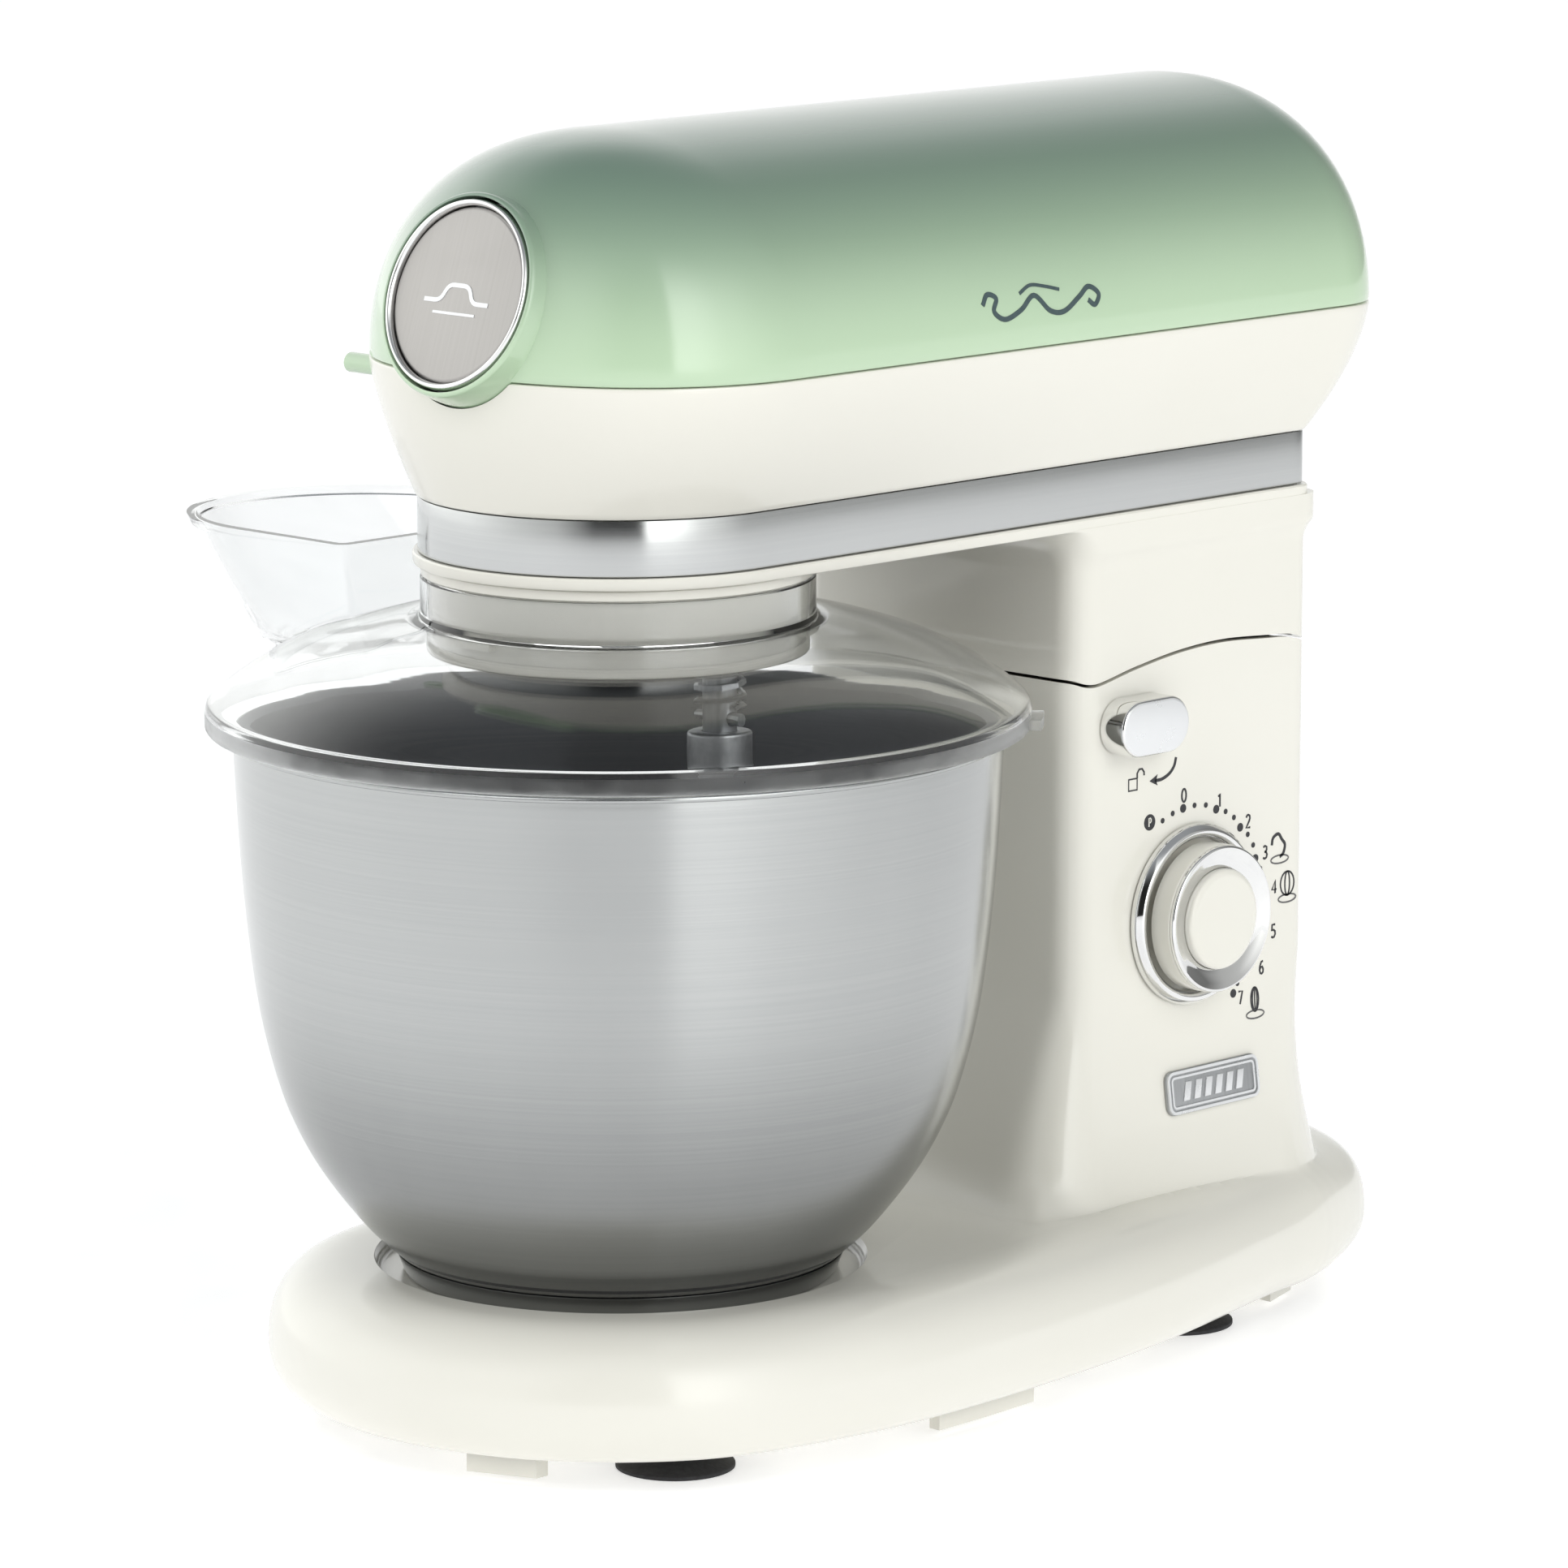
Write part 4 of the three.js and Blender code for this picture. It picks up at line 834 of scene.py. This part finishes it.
# ---- head
cover_rings = [cover_ring(0, 0.7), cover_ring(0, 0.2, SEAM_Z + 0.3), cover_ring(0, 0, SEAM_Z + 0.8)]
CLIMBS = [2, 4, 6, 9, 12, 15, *range(19, 68, 4), *range(70, 83, 3), 84.5, 86.5, 88, 89, 89.7]
cover_skin = [cover_ring(climb, 0) for climb in CLIMBS]
cover = loft("cover_moulding", cover_rings + cover_skin, green)
SKIN = 2.5
cover_inside = [cover_ring(0, SKIN, SEAM_Z - 1)] + [cover_ring(climb, SKIN) for climb in [0] + CLIMBS]
combine(cover, loft("cover_inside", cover_inside, green))
combine(cover, turned("nose_bore", [(0, -60), (28.5, -60), (28.5, 20), (0, 20)], green, 128, on_nose))
boss = round_loop([(28.45, -18), (31.2, -18), (30.4, -6), (29.8, -0.8), (29.2, 0.0), (28.45, 0.0)],
                  [0, 0, 0, 1, 0.4, 0.1])
cover = merge([cover, turned("nose_boss", boss, green, 128, on_nose)], "cover_moulding")
fit(cover, "head", "head_cover", slot="green")



def shell_height(share):
    return shell_low.z + share * (shell_high.z - shell_low.z)


shell_profile = [(0.8, 0), (0.25, 0.004), (0, 0.012)] + [(0, k / 22) for k in range(1, 22)]
shell_profile += [(0, 0.985), (0.15, 0.995), (0.6, 1)]
side_shell_rings = [shell_ring(t, shell_height(t), inset) for inset, t in shell_profile]
side_shell = loft("side_moulding", side_shell_rings, cream)
inside_levels = [(-0.03, 0)] + [(k / 12, k / 12) for k in range(13)] + [(1.03, 1)]
inside_rings = [shell_ring(t, shell_height(at), WALL) for at, t in inside_levels]
combine(side_shell, loft("side_inside", inside_rings, cream))
notch = [(0, -18.4), (31.6, -18.4), (30.8, -6), (30.2, 0), (30.2, 20), (0, 20)]
combine(side_shell, turned("nose_notch", notch, cream, 128, on_nose))
combine(side_shell, rod("peg_hole", on_side(PEG_Y, PEG_Z), 3.4, -80, -40, cream))
fit(side_shell, "head", "head_side_shell", slot="cream")

band = round_loop([(58, band_low.z), (58, band_high.z), (56.5, band_high.z), (56.5, band_low.z)], 0.2, 2)
fit(loft("steel_band", [band_ring(z, radius) for radius, z in band], band_steel, wrap=True),
    "head", "trim_band", slot="bowl_steel")

ARM_FLOOR, ARM_TOP = 253.0, 256.6
FILLET = 14.0


def neck_ring(z, inset):
    up = max(0, z - (ARM_FLOOR - FILLET))
    spread = FILLET - sqrt(max(0, FILLET ** 2 - up ** 2))
    side = min(1.6, spread)
    line = rounded_ring(COLUMN_SIDE + side - inset, COLUMN_FRONT - spread + inset,
                        COLUMN_REAR + 3 * side - inset, 10 + 2 * side - inset, 6 + 2 * side - inset)
    return [(x, y, z) for x, y in line]


NECK_LEVELS = [195, 215, 230, *range(239, 250), 249.6]
NECK_TOP = [250.3, 251, 251.6, 252.2, 252.6, 252.9, 253.6]
arm = loft("arm_moulding", [neck_ring(z, 0) for z in NECK_LEVELS + NECK_TOP], cream)
combine(arm, loft("neck_inside", [neck_ring(z, WALL) for z in [194] + NECK_LEVELS], cream))
combine(arm, joint_block(0.5, 150))
lip = [(58.6, ARM_FLOOR), (59.2, ARM_FLOOR + 0.2), (59.5, ARM_FLOOR + 0.8), (59.5, ARM_TOP - 0.5),
       (59.1, ARM_TOP)]
combine(arm, loft("arm_lip", [band_ring(z, radius) for radius, z in lip], cream), "UNION")
LUG_TOP = 254.5
lug_outline = [(213, 160), (217, 156.5), (227, 156.5), (231, 161), (231, 168), (228, 174), (202, 213),
               (202, LUG_TOP), (184, LUG_TOP), (184, 213)]
for low, high in ((36, 39.5), (-39.5, -36)):
    combine(arm, prism("hinge_lug", round_loop(lug_outline, 3), low, high, cream, along_x), "UNION")
catch = [(199, 184), (203, 184), (203, LUG_TOP), (199, LUG_TOP)]
combine(arm, prism("catch", catch, 21, 29, cream, along_x), "UNION")
combine(arm, rod("collar_hole", on_z, 52.8, 200, 300, cream, 160))
combine(arm, rod("pin_hole", on_side(HINGE_Y, HINGE_Z), 5.3, -50, 50, cream))
fit(arm, "head", "head_arm", slot="cream")

collar = round_loop([(52.6, 226.5), (55.4, 226.5), (55.4, 249.8), (57.2, 249.8), (57.2, 252.7),
                     (52.6, 252.7)],
                    [0.6, 0.6, 0.2, 0.4, 0.4, 0.2])
collar_parts = [turned("collar_tube", collar, cream, 160)]
for turn in (30, 150, 270):
    ends = arc_line(58.4, turn - 7, turn + 7, 10) + arc_line(55.0, turn + 7, turn - 7, 10)
    collar_parts.append(prism("collar_lug", ends, 232.6, 234.6, cream, on_z, rim=0.3))
fit(merge(collar_parts, "collar"), "head", "guard_collar", slot="cream")

peg = rounded([(0, -70), (3, -70), (3, -49), (5, -49), (5, -46), (0, -46)], [0, 0.6, 0.2, 0.4, 0.4, 0])
fit(turned("release_button", peg, green, 48, on_side(PEG_Y, PEG_Z)), "release", "release_peg", slot="green")

disc = rounded([(0, -9), (20, -9), (20, -3), (25.6, -3), (25.6, -1.5), (24.8, -0.8), (0, -0.8)],
               [0, 0.4, 0.4, 0.4, 0.6, 0.6, 0])
disc_parts = [turned("cap_disc", disc, disc_metal, 128, on_nose)]
swoosh = [(-13, -2.2), (-6.5, -2.2), (-4.2, 2.6), (4.2, 2.6), (6.5, -2.2), (13, -2.2)]
disc_parts.append(stroke("cap_sign", rounded(swoosh, 2.2), 1.3, satin_chrome, on_nose, -0.9, -0.62))
disc_parts.append(stroke("cap_line", [(-8.5, -5.6), (8.5, -5.6)], 0.8, satin_chrome, on_nose, -0.9, -0.62))
fit(merge(disc_parts, "nose_disc"), "hub_cover", "hub_cover_disc", slot="satin_metal")
cap_ring = round_loop([(25.8, -3.6), (27.7, -3.6), (27.7, -0.4), (27.2, 0.7), (26.3, 0.7), (25.8, -0.4)],
                      [0.2, 0.2, 0.5, 0.5, 0.5, 0.3])
fit(turned("nose_ring", cap_ring, chrome, 144, on_nose), "hub_cover", "hub_cover_ring", slot="chrome")


# The flourish lies on the green side.
def on_cover(y, z, out):
    rise = (z - SEAM_Z) / (HEAD_TOP - SEAM_Z)
    climb = asin(min(1, rise ** (COVER_POWER / 2)))
    width = HEAD_WIDTH * cos(climb) ** (2 / COVER_POWER)
    return (width + out, y, z)


FLOURISH_Y, FLOURISH_Z = 101, 325
SWIRL = [(-25, 1.5), (-22.5, 4.4), (-19, 3.0), (-20.5, -0.6), (-16, -3.2), (-9, -1.0), (-3, 2.6), (3, -2.2),
         (9, -3.0), (16, 0.6), (20.5, 3.2), (24.5, 0.8), (22.5, -2.2), (19.8, -0.6)]
LEAF = [(-9, 3.6), (-4, 5.6), (2, 4.8), (8, 3.4)]
flourish = []
for name, points, per, width in (("swirl", SWIRL, 7, 1.5), ("leaf", LEAF, 6, 1.0)):
    line = [(FLOURISH_Y + y, FLOURISH_Z + z) for y, z in smooth_line(points, per)]
    flourish.append(stroke(name, line, width, slate_ink, on_cover, -0.05, 0.16))
fit(merge(flourish, "flourish"), "head", slot="green")

# ---- bowl
BOWL_WALL, BOWL_FLOOR = 1.6, 51.6
wall = [(66, 50), (74.6, 58), (82.8, 68), (89.7, 78), (95, 88), (99.5, 99.5), (104.2, 117.5), (107.3, 137),
        (110, 165), (111.7, 196), (111.9, 202.2)]
outside = smooth_line(wall, 6)
inside = [(r - BOWL_WALL, z) for r, z in reversed(outside) if z > 52]
rim = arc_line(0.95, -60, 140, 10, (112.85, 203.3))
bowl_profile = [(0, 50), (63.5, 50), (65.2, 50.1)] + outside + rim + inside
bowl_profile += [(66, 51.9), (63, BOWL_FLOOR), (0, BOWL_FLOOR)]
bowl = turned("bowl", bowl_profile, bowl_steel, 256)
bowl.data.materials.append(painted_shade_inner_steel)
# Faces looking into the bowl, and its inner floor, take the near-black steel of painted shade.
for face in bowl.data.polygons:
    outwards = face.center - BOWL_AXIS * MM
    faces_in = face.normal.x * outwards.x + face.normal.y * outwards.y < 0
    if faces_in or BOWL_FLOOR - 0.1 < face.center.z / MM < BOWL_FLOOR + 0.9:
        face.material_index = 1
fit(bowl, "bowl", "mixing_bowl", slot="bowl_steel")
foot_profile = round_loop([(61.5, 43.4), (63.6, 43.4), (66, 49.6), (63.8, 49.6)], 0.3, 2)
bowl_foot_parts = [turned("foot_ring", foot_profile, bowl_steel, 192)]
for turn in (0, 120, 240):
    ends = arc_line(62.6, turn - 10, turn + 10, 10) + arc_line(58.8, turn + 10, turn - 10, 10)
    bowl_foot_parts.append(prism("foot_lug", ends, 44, 45.6, bowl_steel, on_z, rim=0.2))
fit(merge(bowl_foot_parts, "bowl_ring"), "bowl", "bowl_foot", slot="bowl_steel")

# ---- guard and feed chute
DOME = smooth_line([(120, 210.5), (118.6, 213.4), (112, 218.6), (104, 223.6), (94, 228.4), (82, 232.4),
                    (70, 235.4), (60.5, 237)], 6)
GUARD_WALL, LIP_TOP = 1.8, 209.5
CHUTE_TOP, CHUTE_X, CHUTE_END, CHUTE_REACH, CHUTE_HALF = 255.0, -67, -80, 30, 46


def dome_height(radius):
    return float(np.interp(radius, [r for r, _ in reversed(DOME)], [z for _, z in reversed(DOME)]))


def chute_line(inner_x, round_x, reach, half, inset, steps=40):
    """The chute's plan: a straight wall beside the head and a rounded outer end."""
    middle_y = 5
    arc = []
    for i in range(steps + 1):
        turn = pi * (0.5 + i / steps)
        arc.append((round_x + (reach - inset) * cos(turn), middle_y + (half - inset) * sin(turn)))
    near, far = middle_y - half + inset, middle_y + half - inset
    corner = 4 - inset / 2
    side = [(inner_x - inset, near + corner + (far - near - 2 * corner) * i / 12) for i in range(13)]
    first = arc_line(corner, 270, 345, 5, (inner_x - inset - corner, near + corner))
    last = arc_line(corner, 15, 90, 5, (inner_x - inset - corner, far - corner))
    return first + side + last + arc


def chute_ring(share, inset, height):
    """share is 0 on the dome and 1 at the rim; the outer wall bulges between them."""
    bulge = share ** 0.62
    line = chute_line(CHUTE_X, CHUTE_END - 36 * bulge, CHUTE_REACH + 22 * bulge, CHUTE_HALF + 6 * bulge,
                      inset)
    return [(x, y, height(hypot(x, y))) for x, y in line]


under = [(r - 0.6, z - GUARD_WALL) for r, z in reversed(DOME) if r < 119]
neck = [(58.6, 237.4), (57.5, 238.6), (57.4, 240), (57.4, 248.9), (57.1, 249.3), (56.1, 249.3), (55.8, 249),
        (55.8, 235.4)]
lip = [(118.3, LIP_TOP), (118.2, 208), (118.2, 205.7), (118.5, 205.5), (119.7, 205.5)]
guard_profile = [(120, 206), (120, 207.5)] + DOME + neck + under + lip
guard = turned("guard_dome", guard_profile, clear, 192)
hole_line = chute_line(CHUTE_X, CHUTE_END, CHUTE_REACH, CHUTE_HALF, 5)
hole = [[(x, y, z) for x, y in hole_line] for z in (190, 260)]
combine(guard, loft("chute_hole", hole, clear))
lug_ends = arc_line(123.5, 36, 44, 8) + arc_line(119.6, 44, 36, 8)
combine(guard, prism("guard_lug", lug_ends, 206, 209, clear, on_z, rim=0.3), "UNION")
guard.data.materials.append(frosted)
for face in guard.data.polygons:
    if face.center.z < LIP_TOP * MM:
        face.material_index = 1
fit(guard, "guard", "splash_guard", slot="clear")

SHARES = [k / 12 for k in range(13)]


def chute_height(share):
    return lambda radius: (dome_height(radius) - 1) * (1 - share) + CHUTE_TOP * share


RIM_SHARE, RIM_OUT, CHUTE_INSIDE = 0.935, 1.3, 3.2
chute_skin = [(s, RIM_OUT) for s in SHARES[:-1]] + [(RIM_SHARE, RIM_OUT), (RIM_SHARE + 0.004, 0), (1, 0)]
chute = loft("chute_wall", [chute_ring(s, inset, chute_height(s)) for s, inset in chute_skin], clear)
chute_inside = ([chute_ring(0, CHUTE_INSIDE, lambda r: 195)]
                + [chute_ring(s, CHUTE_INSIDE, chute_height(s)) for s in SHARES]
                + [chute_ring(1, CHUTE_INSIDE, lambda r: CHUTE_TOP + 5)])
combine(chute, loft("chute_inside", chute_inside, clear))
seat_line = [(0, 190), (120.3, 190)] + [(r + 0.3, z + 0.3) for r, z in DOME] + [(0, DOME[-1][1] + 0.3)]
combine(chute, turned("chute_seat", seat_line, clear, 192))
fit(chute, "chute", "feed_chute", slot="clear")

# ---- dial and lever
knob = rounded([(0, 62), (22.7, 62), (22.7, 69), (22, 69.3), (15, 68.2), (0, 68)], [0, 0.3, 0.4, 0.3, 0.3, 0])
fit(turned("knob_turned", knob, cream, 144, on_dial), "knob", "knob_body", slot="cream")
dish_ring = round_loop([(15.6, 68.6), (22.5, 69.5), (22.5, 70.5), (21.8, 71), (18.6, 69.8), (15.6, 69.2)],
                       [0.1, 0.1, 0.4, 0.5, 3, 0.2])
fit(turned("knob_dish", dish_ring, chrome, 144, on_dial), "knob", "knob_ring", slot="chrome")
cap = rounded([(0, 68.8), (15.4, 68.8), (15.4, 71.2), (13.8, 71.9), (0, 72.2)], [0, 0.2, 1.4, 2, 0])
fit(turned("knob_centre", cap, cream, 128, on_dial), "knob", "knob_cap", slot="cream")

LEVER_RADIUS, LEVER_LENGTH = 8.6, 12.8
stadium = (arc_line(LEVER_RADIUS, 90, 270, 28, (LEVER_Y, LEVER_Z))
           + arc_line(LEVER_RADIUS, -90, 90, 28, (LEVER_Y + LEVER_LENGTH, LEVER_Z)))
lever = prism("lever_handle", stadium, lever_low.x, lever_high.x, chrome, along_x, rim=1.2)
lever.data.materials.append(satin_chrome)
for face in lever.data.polygons:
    if face.normal.x > 0.9:
        face.material_index = 1
fit(lever, "lever", "lock_lever", slot="chrome")

# ---- tool
TOOL = middle("tool_shaft") - AXIS_SHIFT


def on_tool(x, y, z):
    return (TOOL.x + x, TOOL.y + y, z)


carrier = round_loop([(6.3, 229), (50, 229), (50, 236), (12, 236), (12, 242), (6.3, 242)],
                     [0.1, 1.5, 1.5, 1, 0.4, 0.1])
plate = turned("carrier_plate", carrier, nylon, 128)
combine(plate, rod("tool_hole", on_tool, 5.4, 220, 240, nylon))
fit(plate, "planetary", "planet_carrier", slot="cast_aluminium")

shaft = rounded([(0, 196), (5, 196), (5, 221), (12, 222), (12, 224), (5, 225), (5, 256), (0, 256)], 0.5)
shaft = turned("tool_spindle", shaft, machined, 48, on_tool)


def across_tool(x, y, out):
    return on_tool(out, x, 207.5 + y)


combine(shaft, rod("cross_hole", across_tool, 1.9, -8, 8, machined, 24))
fit(shaft, "tool", "tool_shaft", slot="machined_steel")


def tube(name, path, radius, look, sides=24):
    """A round tube along a smooth line, with domed ends."""
    line = [Vector(p) for p in smooth_line(path, 8)]
    tangents = [(after - before).normalized() for before, after in
                zip([line[0]] + line[:-1], line[1:] + [line[-1]])]
    side = tangents[0].orthogonal().normalized()
    rings = []
    for k, (centre, tangent) in enumerate(zip(line, tangents)):
        side = (side - tangent * side.dot(tangent)).normalized()
        across = tangent.cross(side)

        def ring(r, lift):
            return [tuple(centre + tangent * lift + side * (r * cos(a)) + across * (r * sin(a)))
                    for a in (2 * pi * i / sides for i in range(sides))]
        ends = [(0.35, 0.95), (0.75, 0.66), (0.95, 0.3)]
        if k == 0:
            rings += [ring(radius * r, -radius * 0.2 * lift) for r, lift in ends]
        rings.append(ring(radius, 0))
        if k == len(line) - 1:
            rings += [ring(radius * r, radius * 0.2 * lift) for r, lift in reversed(ends)]
    return loft(name, rings, look)


hook_path = [(0, 0, 190), (0, 0, 172), (6, 2, 160), (24, 10, 142), (36, 22, 116), (28, 30, 88), (6, 28, 68),
             (-16, 14, 62), (-28, -6, 66)]
hook = tube("hook_bar", [on_tool(*p) for p in hook_path], 5.4, cast)
hub_profile = rounded([(0, 184), (9.5, 184), (9.5, 204), (5.3, 204), (5.3, 195.7), (0, 195.7)],
                      [0, 2, 1.2, 0.3, 0.3, 0])
combine(hook, turned("hook_hub", hub_profile, cast, 64, on_tool), "UNION")
fit(hook, "tool", "dough_hook", slot="cast_aluminium")

# ---- finishes of the pieces kept from the frame
FINISHES = {
    "cream": cream, "green": green, "clear": clear, "bowl_steel": bowl_steel, "chrome": chrome,
    "satin_metal": satin_chrome, "rubber": rubber, "machined_steel": machined, "cast_aluminium": cast,
    "laminated_steel": dark_steel, "copper": copper, "nylon": nylon, "circuit_board": board,
}
for node in nodes.values():
    for k, look in enumerate(node.data.materials):
        node.data.materials[k] = FINISHES[look.name.split(".")[0]]

# ---- table, light and camera
HEADING = radians(44.51)
PITCH = radians(10.57)
CAMERA_SIDE = HEADING - pi / 2  # direction from the mixer to the camera, about +Z
# Brightness of the world's light round the mixer, by the angle to the right of the camera's side.
STUDIO = [(-180, 1.0), (-132, 1.7), (-92, 1.5), (-61, 1.0), (-34, 0.70), (-12, 0.02), (12, 0.02), (15, 0.15),
          (19, 2.7), (32, 2.5), (49, 1.4), (78, 0.58), (92, 0.48), (106, 0.18), (143, 0.26), (165, 0.9),
          (180, 1.0)]
OVERHEAD = (0.31, 0.325, 0.34, 1)


def table_finish():
    """A plain white table that gives off some light."""
    m = Surface("table_white")
    pale = m.ramp(m.noise(m.everywhere, 30, 2), (0.72, 0.72, 0.725), (0.76, 0.76, 0.765))
    m.set(Base_Color=pale, Emission_Color=pale, Roughness=m.between(m.noise(m.everywhere, 60), 0.35, 0.45))
    m.set(Emission_Strength=0.66, Specular_IOR_Level=0.1)
    return m.material


FAR = 9000
table = piece("table", [(-FAR, -FAR, 0), (FAR, -FAR, 0), (FAR, FAR, 0), (-FAR, FAR, 0)], [(0, 1, 2, 3)],
              table_finish())

LIGHT_AIM = (0, 60, 200)


def softbox(name, at, size, power):
    """A square light that shows in no reflection."""
    light = bpy.data.lights.new(name, "AREA")
    light.size = size * MM
    light.energy = power
    obj = bpy.data.objects.new(name, light)
    scene.collection.objects.link(obj)
    obj.location = place(*at)
    obj.rotation_euler = (place(*at) - place(*LIGHT_AIM)).to_track_quat("Z", "Y").to_euler()
    obj.visible_glossy = False


softbox("front_fill", (300, -1900, 1700), 1500, 12.5)
softbox("side_fill", (1500, 0, 1200), 1200, 7)


def studio_light(world):
    """Bright and dark stretches of light round the mixer, and one colour overhead."""
    m = Nodes(world, "Background")
    direction = m.add("ShaderNodeTexCoord", {}).outputs["Generated"]
    parts = m.add("ShaderNodeSeparateXYZ", {"Vector": direction})
    turn = m.math("ARCTAN2", parts.outputs["Y"], parts.outputs["X"])
    whole = 2 * pi
    share = m.math("FRACT", m.math("MULTIPLY_ADD", turn, 1 / whole, 1.5 - CAMERA_SIDE / whole))
    around = m.add("ShaderNodeValToRGB", {"Fac": share})
    stops = around.color_ramp.elements
    for k, (angle, bright) in enumerate(STUDIO):
        at = angle / 360 + 0.5
        stop = stops[0] if k == 0 else stops[-1] if k == len(STUDIO) - 1 else stops.new(at)
        stop.position = at
        stop.color = (bright * 0.99, bright, bright * 0.985, 1)
    m.set(Color=m.rise(direction, (0.45, 0.9), around.outputs["Color"], OVERHEAD))


scene.world = bpy.data.worlds.new("studio")
studio_light(scene.world)

camera = bpy.data.cameras.new("camera")
camera.lens, camera.sensor_width = 176.5, 36
camera.clip_end = 50
eye = bpy.data.objects.new("camera", camera)
scene.collection.objects.link(eye)
scene.camera = eye
eye.location = place(1575.3, -1534.0, 597.2)
forward = Vector((-sin(HEADING) * cos(PITCH), cos(HEADING) * cos(PITCH), -sin(PITCH)))
eye.rotation_euler = forward.to_track_quat("-Z", "Y").to_euler()
scene.view_settings.view_transform = "Standard"
